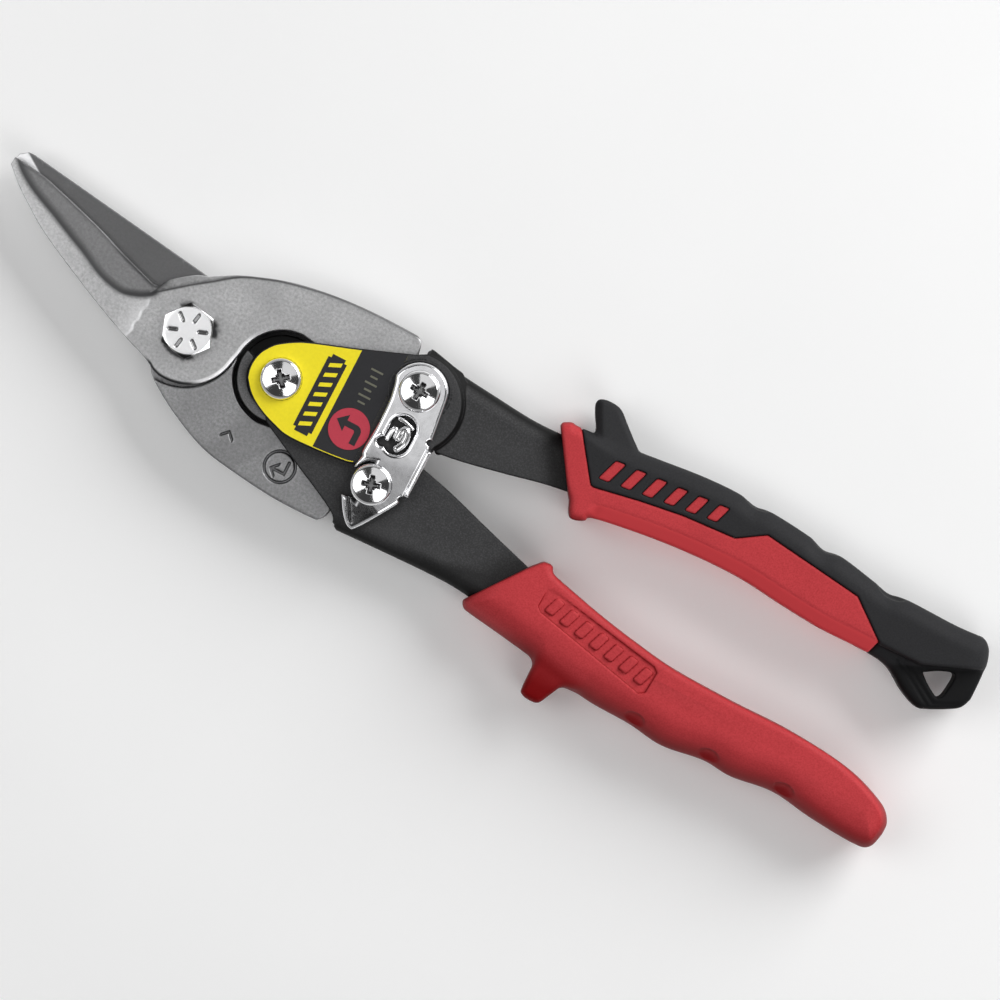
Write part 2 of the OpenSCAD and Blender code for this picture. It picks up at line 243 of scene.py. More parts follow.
def piece(name, field, low, high, step, keep, body, slot, stands_for, material, marks=None):
    """A mesh of the field inside a box, riding on a body. keep is the share of its faces kept.

    marks names functions of x, y and z, which are stored on the mesh for its material.
    """
    axes = [np.arange(a - 2 * step, b + 2 * step, step) for a, b in zip(low, high)]
    grid = np.meshgrid(*axes, indexing="ij", sparse=True)
    vertices, quads = surface_net(field(*grid), [axis[0] for axis in axes], step)
    here, way = slope(field, vertices)
    move = here / np.maximum((way ** 2).sum(1), 0.25)
    vertices -= np.clip(move, -step / 2, step / 2)[:, None] * way
    mesh = bpy.data.meshes.new(name)
    mesh.from_pydata(vertices * MM, [], quads.tolist())
    ob = added(name, mesh)
    if keep < 1:
        thin = ob.modifiers.new("thin", "DECIMATE")
        thin.ratio = keep
        ob.data = baked(ob)
        ob.modifiers.clear()
        mesh = ob.data
    mesh.shade_smooth()
    co = np.zeros(len(mesh.vertices) * 3)
    mesh.vertices.foreach_get("co", co)
    co = co.reshape(-1, 3) / MM
    here, way = slope(field, co)
    way /= np.maximum(np.linalg.norm(way, axis=1), 1e-6)[:, None]
    reach = 0.5
    # wear marks convex edges, for worn edges; the next mark holds painted shade in concave places, and side holds
    # how far the surface turns from upright, for painted shade on the sides.
    store(mesh, "wear", np.clip(1 + field(*(co - reach * way).T) / reach, 0, 1))
    store(mesh, "hollow_shade", np.clip(1 - field(*(co + reach * way).T) / reach, 0, 1))
    store(mesh, "side", 1 - np.abs(way[:, 2]))
    for mark, value in (marks or {}).items():
        store(mesh, mark, value(*co.T))
    mesh.materials.append(material)
    return place(ob, body, slot, stands_for)


def added(name, data):
    """A new object in the scene."""
    ob = bpy.data.objects.new(name, data)
    bpy.context.scene.collection.objects.link(ob)
    return ob


def baked(ob):
    """The mesh of an object with its modifiers or its curve worked out."""
    graph = bpy.context.evaluated_depsgraph_get()
    return bpy.data.meshes.new_from_object(ob.evaluated_get(graph))


def store(mesh, name, values):
    """Keeps one number for each vertex."""
    attribute = mesh.attributes.new(name, "FLOAT", "POINT")
    attribute.data.foreach_set("value", values.astype(np.float32))


def place(ob, body, slot, stands_for=()):
    """Hangs a new piece on its body and hides the CAD nodes that it stands for; slot is not used."""
    if stands_for:
        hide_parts(*stands_for)
    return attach(ob, body)


# ---- materials

def scaled(colour, factor):
    """The colour made lighter or darker."""
    return tuple(factor * c for c in colour)


def map_range(node, numbers):
    """Sets what a Map Range node maps from and to."""
    for key, number in zip(("From Min", "From Max", "To Min", "To Max"), numbers):
        node.inputs[key].default_value = number


class Paint:
    """A Principled material with short ways to add its nodes."""

    def __init__(self, name, metallic=0.0, roughness=0.5):
        self.material = bpy.data.materials.new(name)
        self.material.use_nodes = True
        self.tree = self.material.node_tree
        self.shader = self.tree.nodes["Principled BSDF"]
        self.shader.inputs["Metallic"].default_value = metallic
        self.shader.inputs["Roughness"].default_value = roughness
        self.place = self.tree.nodes.new("ShaderNodeTexCoord").outputs["Object"]
        self.bump = None

    def add(self, kind, **settings):
        node = self.tree.nodes.new(kind)
        for key, value in settings.items():
            setattr(node, key, value)
        return node

    def link(self, source, target):
        if isinstance(source, (int, float, tuple)):
            target.default_value = source
        else:
            self.tree.links.new(source, target)

    def noise(self, scale, detail=3.0, rough=0.55, stretch=(1, 1, 1)):
        """Noise with features about 1/scale metres wide."""
        mapping = self.add("ShaderNodeMapping")
        mapping.inputs["Scale"].default_value = stretch
        self.link(self.place, mapping.inputs["Vector"])
        node = self.add("ShaderNodeTexNoise")
        node.inputs["Scale"].default_value = scale
        node.inputs["Detail"].default_value = detail
        node.inputs["Roughness"].default_value = rough
        self.link(mapping.outputs["Vector"], node.inputs["Vector"])
        return node.outputs["Fac"]

    def fit(self, value, start, end, low=0.0, high=1.0):
        """Maps start..end to low..high, and holds it there."""
        node = self.add("ShaderNodeMapRange")
        self.link(value, node.inputs["Value"])
        map_range(node, (start, end, low, high))
        return node.outputs["Result"]

    def math(self, operation, a, b=0.0):
        node = self.add("ShaderNodeMath", operation=operation)
        self.link(a, node.inputs[0])
        self.link(b, node.inputs[1])
        return node.outputs[0]

    def mix(self, share, a, b):
        """Colour a where share is 0 and b where it is 1."""
        node = self.add("ShaderNodeMix", data_type="RGBA")
        self.link(share, node.inputs["Factor"])
        self.link(a if not isinstance(a, tuple) else (*a, 1.0), node.inputs["A"])
        self.link(b if not isinstance(b, tuple) else (*b, 1.0), node.inputs["B"])
        return node.outputs["Result"]

    def tint(self, colour, mark, start, end, most, towards):
        """The colour moved towards another as a mark goes from start to end."""
        return self.mix(self.fit(self.mark(mark), start, end, 0, most), colour, towards)

    def mark(self, name):
        """A number that the mesh holds for each vertex."""
        return self.add("ShaderNodeAttribute", attribute_name=name).outputs["Fac"]

    def raise_by(self, height, strength, distance):
        """Adds a bump to those already there."""
        node = self.add("ShaderNodeBump")
        node.inputs["Strength"].default_value = strength
        node.inputs["Distance"].default_value = distance
        self.link(height, node.inputs["Height"])
        if self.bump is not None:
            self.link(self.bump, node.inputs["Normal"])
        self.bump = node.outputs["Normal"]

    def done(self, colour, roughness=None):
        self.link(colour, self.shader.inputs["Base Color"])
        if roughness is not None:
            self.link(roughness, self.shader.inputs["Roughness"])
        if self.bump is not None:
            self.link(self.bump, self.shader.inputs["Normal"])
        return self.material


def ground_steel(name, base, shade):
    """Satin ground steel: fine grain and worn edges, with painted shade and painted highlight where the mesh marks
    them.
    """
    p = Paint(name, metallic=1.0)
    cloud = p.noise(110, 4)
    grain = p.noise(1500, 4, 0.7)
    fine = p.noise(6000, 2)
    scuff = p.noise(500, 3, stretch=(0.4, 1, 1))
    colour = p.mix(p.fit(cloud, 0.35, 0.7), base, scaled(base, 1.2))
    colour = p.mix(p.fit(grain, 0.35, 0.65, 0, 0.8), colour, scaled(base, 0.66))
    shade_level = p.mark("shade")
    # Painted shade: towards the shade colour as the shade mark goes from 0 to 1.
    colour = p.mix(p.fit(shade_level, 0, 1), colour, shade)
    colour = p.tint(colour, "wear", 0.35, 0.9, 0.3, (0.8, 0.8, 0.81))
    # Painted highlight: near white where the gleam mark is set, broken up in blotches.
    blotch = p.fit(p.noise(160, 3), 0.35, 0.6, 0.55, 1.0)
    colour = p.mix(p.math("MULTIPLY", p.mark("gleam"), blotch), colour, (0.95, 0.95, 0.96))
    # Painted shade: near black where the shade mark passes 0.7, and in concave places.
    colour = p.mix(p.fit(shade_level, 0.7, 1.4, 0, 0.85), colour, (0.04, 0.04, 0.042))
    colour = p.tint(colour, "hollow_shade", 0.15, 0.7, 0.85, (0.04, 0.04, 0.042))
    p.raise_by(fine, 0.2, 0.00003)
    p.raise_by(grain, 0.3, 0.00006)
    p.raise_by(scuff, 0.1, 0.00008)
    return p.done(colour, p.fit(p.math("ADD", cloud, scuff), 0.7, 1.4, 0.36, 0.5))


def plated(name, base, roughness, mottle=0.06):
    """Bright plating with faint handling marks; the mesh marks where it gets painted shade and where it is satin.
    """
    p = Paint(name, metallic=1.0)
    cloud = p.noise(350, 4)
    scratch = p.noise(2600, 2, stretch=(0.08, 1, 1))
    colour = p.mix(p.fit(cloud, 0.4, 0.75, 0, 0.5), base, scaled(base, 0.82))
    # Painted shade: darker in concave places, near black where the painted-shade mark is set.
    colour = p.tint(colour, "hollow_shade", 0.2, 0.9, 0.75, (0.05, 0.05, 0.05))
    colour = p.mix(p.mark("painted_shade"), colour, (0.03, 0.03, 0.03))
    p.raise_by(scratch, 0.04, 0.00003)
    p.raise_by(cloud, mottle, 0.0001)
    gloss = p.fit(cloud, 0.35, 0.75, roughness, roughness * 1.8)
    return p.done(colour, p.math("ADD", gloss, p.fit(p.mark("satin"), 0, 1, 0, 0.25)))


def coating(name, base, roughness=0.5):
    """Fine-textured coating on pressed steel, with painted shade: near black on its sides, in concave places and
    where the mesh marks it.
    """
    p = Paint(name)
    cloud = p.noise(60, 4)
    grain = p.noise(2600, 3, 0.7)
    colour = p.mix(p.fit(cloud, 0.35, 0.7), base, scaled(base, 1.4))
    colour = p.mix(p.fit(grain, 0.45, 0.75, 0, 0.8), colour, scaled(base, 2.4))
    # Painted shade: near black as the surface turns from upright.
    colour = p.tint(colour, "side", 0.02, 0.32, 0.95, (0.004, 0.004, 0.004))
    colour = p.tint(colour, "wear", 0.4, 0.95, 0.4, (0.14, 0.14, 0.145))
    # Painted shade: near black where the painted-shade mark is set, and in concave places.
    colour = p.mix(p.mark("painted_shade"), colour, (0.006, 0.006, 0.006))
    colour = p.tint(colour, "hollow_shade", 0.2, 0.8, 0.8, (0.008, 0.008, 0.008))
    p.raise_by(grain, 0.35, 0.00007)
    p.shader.inputs["Specular IOR Level"].default_value = 0.15
    return p.done(colour, p.fit(cloud, 0.3, 0.7, roughness - 0.06, roughness + 0.08))


def moulded(name, base, deep, roughness, grain_size=2600):
    """Moulded grip material, with painted shade towards its deep colour and painted light where the mesh marks
    them.
    """
    p = Paint(name)
    cloud = p.noise(45, 4)
    grain = p.noise(grain_size, 3)
    colour = p.mix(p.fit(cloud, 0.3, 0.7), base, scaled(base, 1.12))
    colour = p.mix(p.fit(grain, 0.35, 0.75, 0, 0.3), colour, deep)
    # Painted shade: towards the deep colour in concave places, on the sides and where the shade mark is set.
    colour = p.tint(colour, "hollow_shade", 0.2, 0.9, 0.7, deep)
    colour = p.tint(colour, "side", 0.4, 0.9, 0.8, deep)
    colour = p.tint(colour, "shade", 0, 1, 0.95, deep)
    # Painted light: lighter where the painted-light mark is set.
    colour = p.mix(p.mark("painted_light"), colour, scaled(base, 1.6))
    p.raise_by(grain, 0.25, 0.00006)
    p.raise_by(p.noise(500, 2), 0.1, 0.0001)
    p.shader.inputs["Specular IOR Level"].default_value = 0.1
    return p.done(colour, p.fit(cloud, 0.3, 0.7, roughness - 0.05, roughness + 0.07))


def printed(name, base, roughness=0.45):
    """Printed film with a faint unevenness in its ink."""
    p = Paint(name)
    ink = p.noise(1400, 3)
    colour = p.mix(p.fit(ink, 0.35, 0.75, 0, 0.5), base, scaled(base, 0.88))
    p.raise_by(p.noise(260, 3), 0.08, 0.0001)
    p.shader.inputs["Specular IOR Level"].default_value = 0.25
    return p.done(colour, p.fit(ink, 0.3, 0.7, roughness, roughness + 0.1))


STEEL_FRONT = ground_steel("front_steel", (0.5, 0.5, 0.505), (0.118, 0.118, 0.12))
STEEL_REAR = ground_steel("rear_steel", (0.315, 0.315, 0.32), (0.14, 0.14, 0.142))
CHROME = plated("chrome", (0.9, 0.9, 0.91), 0.07, 0.02)
BOLT = plated("bolt_chrome", (0.97, 0.97, 0.98), 0.1, 0.1)
LATCH_PLATE = plated("latch_plate", (0.9, 0.9, 0.92), 0.1, 0.1)
ZINC = plated("zinc", (0.62, 0.63, 0.65), 0.28)
BLACK_COAT = coating("black_coat", (0.036, 0.036, 0.037))
DARK_STEEL = coating("dark_steel", (0.21, 0.21, 0.213), 0.4)
SPRING_STEEL = plated("spring_steel", (0.35, 0.35, 0.37), 0.3)
RED_GRIP = moulded("red_grip", (0.55, 0.052, 0.06), (0.2, 0.0, 0.001), 0.45)
BLACK_GRIP = moulded("black_grip", (0.028, 0.028, 0.03), (0.006, 0.006, 0.0065), 0.55)
YELLOW_INK = printed("yellow_ink", (1.0, 0.84, 0.02))
BLACK_INK = printed("black_ink", (0.024, 0.024, 0.027))
GREY_INK = printed("grey_ink", (0.16, 0.16, 0.12))
RED_INK = printed("red_ink", (0.55, 0.05, 0.08))


# ---- grips

UPPER_TOP = [(84, 19.5), (87.4, 21.7), (90.5, 21.7), (104.3, 22.9), (109, 23.4), (120, 24.6),
             (129, 24.9), (134, 24.1), (138, 24.5), (148, 23.6), (152.5, 22.4), (157, 22.8),
             (167, 21), (170.5, 20.4), (175, 21), (187, 20.9), (193.8, 21.2), (195.9, 20),
             (197, 18), (197.6, 15.5), (197.9, 12), (198, 7.4)]
UPPER_BOTTOM = [(198, 7.4), (197, 5), (195, 3.4), (190, 0.8), (187.5, 0.2), (183, 2),
                (177.5, 5.3), (171, 6.1), (160, 6), (150, 6.7), (136.5, 7.85), (120, 7.1),
                (103, 4.7), (100.6, 3.1), (98.6, 2.2), (97, 2.3), (95.8, 3.6), (94.6, 6), (90, 9)]
UPPER_GUARD = [(93.4, 19), (93.4, 22.8), (91.6, 26), (90.6, 28.3), (91.2, 29.6), (93.5, 30.1),
               (96.4, 29.6), (99.3, 27.2), (102, 24.9), (104.4, 22.8), (106, 20), (106, 18)]
SEAM = [(90.4, 21.6), (97.7, 11.6), (98.2, 11), (99, 10.9), (110, 13), (120, 14.5), (133, 15.4),
        (139.3, 19.5), (164, 16.5), (173, 9.5), (171.2, 3)]
LOOP_HOLE = [(185.3, 7.9), (188.4, 9.8), (191.4, 10.9), (192.4, 10.2), (192.3, 7.4), (191.9, 5.2),
             (191.1, 4.4), (190, 4.6), (187.5, 6.1), (185.3, 7.9)]
LOWER_TOP = [(93.6, -12.6), (96.2, -9.9), (97.4, -9.4), (98.9, -9.5), (100.2, -11), (105, -12.3),
             (115, -14.6), (125, -16.4), (135, -17.7), (150, -18.1), (165, -18), (180, -19.4),
             (190, -22.7), (195, -26), (195.6, -29.5)]
LOWER_BOTTOM = [(195.6, -29.5), (193.6, -33.4), (189, -34.3), (178, -33.6), (167.5, -32.3),
                (157.5, -33.6), (150, -33.2), (140, -34.6), (131, -33.6), (120, -33.2),
                (108, -31.2), (103, -30.2), (95, -29), (87, -27.9), (85.2, -27.4), (84, -26)]
LOWER_GUARD = [(105.4, -26), (105.5, -37), (106.2, -38.8), (108.4, -39.25), (110.5, -38.7),
               (112, -35.8), (113.6, -33), (117, -31), (118, -26)]
UPPER_MOUTH = ((86.2, 19.3), (95.2, 5.6))
LOWER_MOUTH = ((84.1, -24.9), (94.6, -11.3))
FAR = 60


def upper_edge(x, y):
    """Signed distance to the upper grip's lower outline."""
    return inside_of(curve(UPPER_BOTTOM) + [(60, 30), (60, FAR), (198, FAR)], x, y)


def lower_edge(x, y):
    """Signed distance to the lower grip's lower outline."""
    return inside_of(curve(LOWER_BOTTOM) + [(84, FAR), (195.6, FAR)], x, y)


def upper_seam(x, y):
    """Negative on the overmould's side of the seam."""
    return inside_of(SEAM + [(171.2, -40), (230, -40), (230, 70), (88, 70)], x, y)


def slanted_bars(x, y):
    """Row of slanted bars along the upper grip's face."""
    u = (x - 101) * 0.995 + (y - 15.9) * 0.1
    v = (y - 15.9) * 0.995 - (x - 101) * 0.1
    pitch = 5.2
    lean = u - 0.45 * v
    nearest = np.clip(np.round(lean / pitch), 0, 5)
    return corner(np.abs(lean - nearest * pitch) * 0.91 - 1.15,
                  np.abs(v - 0.1) - (2.6 - 0.12 * nearest), 0.4)


def upper_grip(x, y, z, inset=0.0):
    """The whole upper grip but for its guard."""
    up = np.abs(z - MID)
    half = GRIP_H - inset
    top = inside_of(curve(UPPER_TOP) + [(198, -FAR), (84, -FAR)], x, y)
    bottom = upper_edge(x, y)
    mouth = -np.maximum(beyond(*UPPER_MOUTH, x, y), beyond((95, 6), (96.7, 2.4), x, y))
    foot = ramp(102.5 - x, 0, 3)
    field = corner(top, up - half, 4.6 - 1.6 * ramp(100 - x, 0, 8))
    side = (up - half + 2.4 + 0.7 * bottom) * 0.82 * (1 - foot) + (up - half) * foot
    field = smax(field, corner(bottom, side, 0.6 + 1.8 * foot), 0.4)
    return corner(field, mouth, 0.8)


def loop_end(x, y, z):
    """The thinner hanging loop behind the upper grip's main body."""
    up = np.abs(z - MID)
    outline = curve(UPPER_TOP[-6:]) + curve(UPPER_BOTTOM[:9]) + [np.array([168, 14])]
    field = corner(inside_of(outline, x, y), up - 6.2, 1.8)
    for a, b in (((179, 8.1), (189.6, 1.6)), ((180.6, 8.4), (190.6, 2.5)),
                 ((190.6, 2.5), (197, 5.6))):
        field = smax(field, -rod(x, y, up, (*a, 6.3), (*b, 6.3), 0.42), 0.3)
    return field


def overmold(x, y, z):
    up = np.abs(z - MID)
    body = upper_grip(x, y, z)
    shelf = np.minimum(beyond((168, 8.8), (184, 9.2), x, y),
                       beyond((184, 9.2), (199, 15.3), x, y))
    body = corner(body, -shelf, 0.9)
    for spot, width in ((134.3, 3.2), (152.8, 3.2), (170.8, 3.4)):
        height = 24.6 - 0.0024 * (spot - 128) ** 2
        body = smax(body, -egg(x, y, up, (spot, height + 0.6, GRIP_H - 4.2), (width, 1.6, 5)), 0.5)
    body = smax(body, -corner(slanted_bars(x, y) - 0.08, GRIP_H - 0.9 - up, 0.05), 0.15)
    top = up - 8.4 + 0.32 * (y - 21)
    guard = corner(inside_of(curve(UPPER_GUARD), x, y), top, 1.2)
    guard = smax(guard, (top + 1.5 - beyond((90.3, 28.6), (94.4, 21), x, y)) * 0.7, 0.15)
    body = smin(body, guard, 0.7)
    body = smin(body, loop_end(x, y, z), 0.7)
    body = smax(body, -inside_of(curve(LOOP_HOLE), x, y), 0.6)
    return smax(body, upper_seam(x, y) + 0.05, 0.5)


def red_core(x, y, z):
    up = np.abs(z - MID)
    body = smax(upper_grip(x, y, z, 0.3), 0.05 - upper_seam(x, y), 0.5)
    ramp_down = GRIP_H - 0.35
    bars = corner(corner(slanted_bars(x, y), up - ramp_down, 0.25), ramp_down - 2.5 - up, 0.1)
    return np.minimum(body, bars)


def panel_bars(x, y, z):
    """Slanted ribs in the lower grip's panel."""
    pitch = 4.2
    rise = y + 17.5 + 0.19 * (x - 103.6)
    lean = x - 103.6 - 0.35 * rise
    nearest = np.clip(np.round(lean / pitch), 0, 6)
    return corner(np.abs(lean - nearest * pitch) * 0.94 - 1.05, np.abs(rise) - 2.1, 0.5)


def lower_grip(x, y, z):
    up = np.abs(z - MID)
    top = inside_of(curve(LOWER_TOP) + [(195.6, -120), (84, -120), (84, -26)], x, y)
    bottom = lower_edge(x, y)
    mouth = beyond(*LOWER_MOUTH, x, y)
    crown = 0.004 * (y + 24) ** 2
    face = up - GRIP_H + crown
    field = smax(corner(top, face, 1.9), corner(bottom, face, 8.6), 0.8 + 4 * ramp(x, 165, 188))
    field = corner(field, mouth, 0.8)
    for spot, height in ((131.5, -32.7), (150.6, -32.3), (169.3, -31.4)):
        field = smax(field, -egg(x, y, up, (spot, height, GRIP_H - 2), (3.1, 2.3, 3.6)), 0.25)
    panel = inside_of([(100, -14.4), (101.6, -13.9), (130.2, -18.9), (131.6, -20), (131.2, -25.6),
                       (129.6, -26.6), (101, -20.3), (99.8, -19.2)], x, y)
    cut = corner(panel + 0.3, GRIP_H - 0.75 - up, 0.1)
    field = smax(field, -cut, 0.2)
    ribs = corner(panel_bars(x, y, z), up - GRIP_H + 0.1 + crown, 0.3)
    ribs = np.maximum(ribs, GRIP_H - 2 - up)
    field = smin(field, ribs, 0.12)
    guard = corner(inside_of(curve(LOWER_GUARD), x, y), up - 7 - 0.22 * (y + 32), 1.6)
    return smin(field, guard, 2.4)


def loop_shade(x, y, z):
    """Painted shade: darker on the loop than on the main body."""
    return 0.95 * ramp(x, 176, 180) * ramp(-beyond((184, 9.2), (199, 15.3), x, y), 0, 0.8)


def core_painted_light(x, y, z):
    """Painted light along the red core's lower chamfer."""
    up = np.abs(z - MID)
    side = ramp(up, GRIP_H - 7, GRIP_H - 2.6)
    return ramp(upper_edge(x, y), -3.4, -3.1) * ramp(x, 99, 104) * side


def lower_shade(x, y, z):
    """Painted shade: deeper colour on the guard and along the lower edge."""
    edge = ramp(lower_edge(x, y), -4.4, -0.6)
    return edge * (0.78 + 0.22 * ramp(-y, 32, 36)) * ramp(x, 92, 104)


def build_grips():
    low, high = (84, -1, 0), (199, 31, 20)
    piece("upper_grip_black", overmold, low, high, 0.36, 0.5, "upper_handle", "grip_black",
          ["upper_grip_overmold"], BLACK_GRIP, {"shade": loop_shade})
    piece("upper_grip_red", red_core, low, (175, 24, 20), 0.36, 0.5, "upper_handle", "grip_red",
          ["upper_grip_core"], RED_GRIP, {"painted_light": core_painted_light})
    piece("lower_grip_red", lower_grip, (83, -40, 0), (197, -8, 20), 0.36, 0.5, "lower_handle",
          "grip_red", ["lower_grip"], RED_GRIP, {"shade": lower_shade})


# ---- handles

PLATE_TOP = [(17.4, 4.2), (19.4, 6.7), (23.3, 9.3), (27.2, 11), (37.5, 14.7), (49, 19.2)]
PLATE_BOTTOM = [(61.5, -1.2), (55, -5.6), (48.3, -9.3), (43.3, -10.4), (32.2, -11.1),
                (27.2, -10.1), (22.8, -8.4), (19.4, -6.2), (17, -3.4)]
STEP_CENTRE, STEP_R = (53, 9), 11.5
PLATE = curve(PLATE_TOP) + arc(STEP_CENTRE, STEP_R, 100, -35) + curve(PLATE_BOTTOM) \
    + arc(H + [1, 0], 8.7, 200, 155, 6)
UPPER_BACK = [(51, 20.4), (51.1, 21.3), (51.7, 21.7), (54.4, 21.2), (60, 20.1), (70, 19.1),
              (80, 18.3), (90, 18.6), (112, 20)]
UPPER_INSIDE = [(112, 9), (105, 8.6), (90, 6.6), (80, 4.4), (70, 2.3), (63.4, 1.3)]
BLADE_ROOM = 50.1
SHROUD_R = 11.6
SPACER_OUT, SPACER_IN = 10.3, 7.8
LOWER_FRONT = [(25.5, -10.3), (33.9, -14.6), (47.2, -21.2), (49.6, -24)]
LOWER_BACK = [(51.1, -25.1), (60, -24.7), (75, -24.2), (84, -24.6), (100, -26.8), (112, -28)]
LOWER_INSIDE = [(112, -17), (105, -15.4), (89.5, -11), (80, -8.2), (70, -5.2), (58, -2.2),
                (40, 3.2)]
LOWER_CREASE = [(50, -20.5), (60, -19.6), (75.5, -19.2), (85.6, -16.3), (91, -12.8), (112, 0)]


def channel(x, y, z, outline, back):
    """Pressed channel: side plates joined by a rounded back, open on the other side."""
    up = np.abs(z - MID)
    side = inside_of(outline, x, y)
    behind = inside_of(back, x, y)
    outer = corner(behind, up - CHEEK_OUT, 4.2)
    inner = corner(behind + SHEET, up - CHEEK_IN, 2.6)
    shell = smax(outer, -inner, 0.3)
    return corner(shell, side, 0.3)


def upper_handle(x, y, z):
    up = np.abs(z - MID)
    rho = round_of(STEP_CENTRE, x, y)
    outline = curve(UPPER_BACK) + curve(UPPER_INSIDE) + arc(STEP_CENTRE, STEP_R + 0.3, -36, 80)
    back = [(-FAR, 32)] + curve(UPPER_BACK[2:]) + [(112, -FAR), (-FAR, -FAR)]
    body = channel(x, y, z, outline, back)
    plate = inside_of(PLATE, x, y)
    raised = corner(plate, np.abs(up - (PLATE_IN + PLATE_OUT) / 2) - SHEET / 2, 0.35)
    lean = rho - STEP_R - 0.1 + 0.75 * (up - (CHEEK_IN + PLATE_OUT) / 2)
    wall = corner(np.abs(lean) * 0.8 - 0.75, np.abs(up - (CHEEK_IN + PLATE_OUT) / 2) - 1.65, 0.5)
    reach = np.minimum(inside_of(outline, x, y), plate)
    wall = np.maximum(wall, reach - 0.3)
    wall = np.maximum(wall, 51.5 - x)
    body = smin(body, smin(raised, wall, 0.4), 0.3)
    ring = np.abs(round_of(A, x, y) - 7.1) - 0.25
    body = smin(body, corner(ring, np.abs(up - PLATE_OUT) - 0.2, 0.1), 0.15)
    body = bored(body, H, SCREW_BORE, x, y)
    return bored(body, A, SCREW_BORE, x, y)


def lower_handle(x, y, z):
    outline = arc(H, 7.2, 78, 262) + curve(LOWER_FRONT) + curve(LOWER_BACK) + curve(LOWER_INSIDE)
    up = np.abs(z - MID)
    back = [(-FAR, -24)] + curve(LOWER_BACK) + [(112, FAR), (-FAR, FAR)]
    body = channel(x, y, z, outline, back)
    sheet = np.abs(MID - z - (CHEEK_IN + CHEEK_OUT) / 2) - SHEET / 2
    body = smin(body, corner(round_of(H, x, y) - SHROUD_R, sheet, 0.35), 0.2)
    body = np.maximum(body, np.minimum(BLADE_ROOM - x, CHEEK_IN - up))
    body = bored(body, H, BOLT_BORE, x, y)
    return bored(body, B, SCREW_BORE, x, y)


def spacer(x, y, z):
    rho = round_of(H, x, y)
    low, high = span("handle_spacer")
    wall = np.maximum(rho - SPACER_OUT, SPACER_IN - rho)
    ring = corner(wall, np.abs(z - MID) - (high - low) / 2, 0.45)
    ring = smax(ring, -np.maximum(27 - x, np.abs(y) - 7.6), 0.3)
    return smax(ring, np.minimum(y - 2.5 + 0.4 * (x - 14), z - low - 1.2), 0.4)


def upper_handle_shade(x, y, z):
    """Painted shade, darker towards the upper grip's mouth."""
    return 0.6 * ramp(beyond(*UPPER_MOUTH, x, y), -6.5, -2)


def lower_handle_shade(x, y, z):
    """Painted shade, darker towards the lower grip's mouth and below the crease that rises to it."""
    mouth = ramp(-beyond(*LOWER_MOUTH, x, y), -7, -1)
    crease = -inside_of(LOWER_CREASE + [(112, -FAR), (50, -FAR)], x, y)
    return 0.6 * np.maximum(mouth, ramp(crease, 0, 2.4) * ramp(x, 60, 76))


def spacer_shade(x, y, z):
    """Painted shade: black in its recess, and darker towards it."""
    return np.maximum(ramp(y - 2.5 + 0.4 * (x - 14), -0.3, 0.1), 0.6 * ramp(y + 0.4 * x, -2.5, 5))


def build_handles():
    piece("spacer_ring", spacer, (13, -11, 6), (35, 11, 14), 0.2, 0.4, "lower_handle",
          "spacer_steel", ["handle_spacer"], DARK_STEEL, {"painted_shade": spacer_shade})
    piece("upper_channel", upper_handle, (15, -12, 3), (112, 23, 17), 0.26, 0.35,
          "upper_handle", "handle_coating", ["upper_handle"], BLACK_COAT, {"painted_shade": upper_handle_shade})
    piece("lower_channel", lower_handle, (12, -29, 4), (112, 12, 16), 0.26, 0.35,
          "lower_handle", "handle_coating", ["lower_handle"], BLACK_COAT, {"painted_shade": lower_handle_shade})


# ---- blades

DISC_R = 12.3
NOTCH_R = 11.2
JAW_START = -11.0
STAMP = (32.9, -18)
CHEVRON = (18.9, -16.2)
# Bearings and widths of painted shadow patches round the main bolt.
SHADOW_BEARINGS = ((32, 24), (120, 18), (263, 48))
FRONT_JAW_BACK = [(-53.9, 15.3), (-50.2, 11.9), (-45.8, 8.7), (-40, 4.9), (-30, -0.1), (-20, -4.7),
                  (-11.7, -8.1), (-8, -9.35), (-5, -10.6), (-3.4, -11.6), (-1.6, -12.2)]
FRONT_JAW_EDGE = [(-12.1, 6), (-20, 8.5), (-30, 12), (-40, 14.9), (-46.3, 16.5), (-53.8, 17.3)]
FRONT_SHOULDER = [(-1.7, 13.3), (-4.2, 12.4), (-7.5, 10.1), (-9.6, 8.2), (-10.6, 6.4)]
FRONT_TAIL_BACK = [(49.4, 18.4), (49.2, 20.2), (48.8, 21.9), (47.9, 22.9), (45.5, 23.3),
                   (35, 23.3), (25, 22.5), (15, 20.6), (5, 17), (-1.7, 13.3)]
FRONT_OUTLINE = (curve(FRONT_JAW_BACK) + arc(P, DISC_R, 266, 352) + arc(H, NOTCH_R, 176, 92, 12)
                 + curve([(24.5, 11.1), (35, 9.2), (48, 7)]) + arc(A, 6.2, 210, 450)
                 + curve(FRONT_TAIL_BACK) + curve(FRONT_SHOULDER) + curve(FRONT_JAW_EDGE))
FRONT_FACE = ([(-60, 40), (-60, -40), (80, -40), (80, 22.6)]
              + curve([(46.5, 22.7), (35, 22.7), (25, 21.9), (15, 19.9), (10, 18.3), (5, 16.2),
                       (0, 12.5), (-4.6, 9.1), (-10.4, 4.4)]) + [(-12, 3.5), (-12, 40)])
HOLLOW = curve([(-55, 18.5), (-52, 15.3), (-49.2, 13.25), (-45.8, 11.4), (-40, 8.9), (-35, 6.6),
                (-30, 4.4), (-25, 1.9), (-21.3, 0.7), (-17.5, 0.25), (-14.2, 1.1), (-12.1, 2.1),
                (-10, 3.6), (-8, 6)]) + [(-8, 30), (-55, 30)]
REAR_JAW_BACK = [(-1.7, 13.2), (-50, 19.7), (-51.6, 19.65), (-53.4, 18.4), (-53.9, 16.4)]
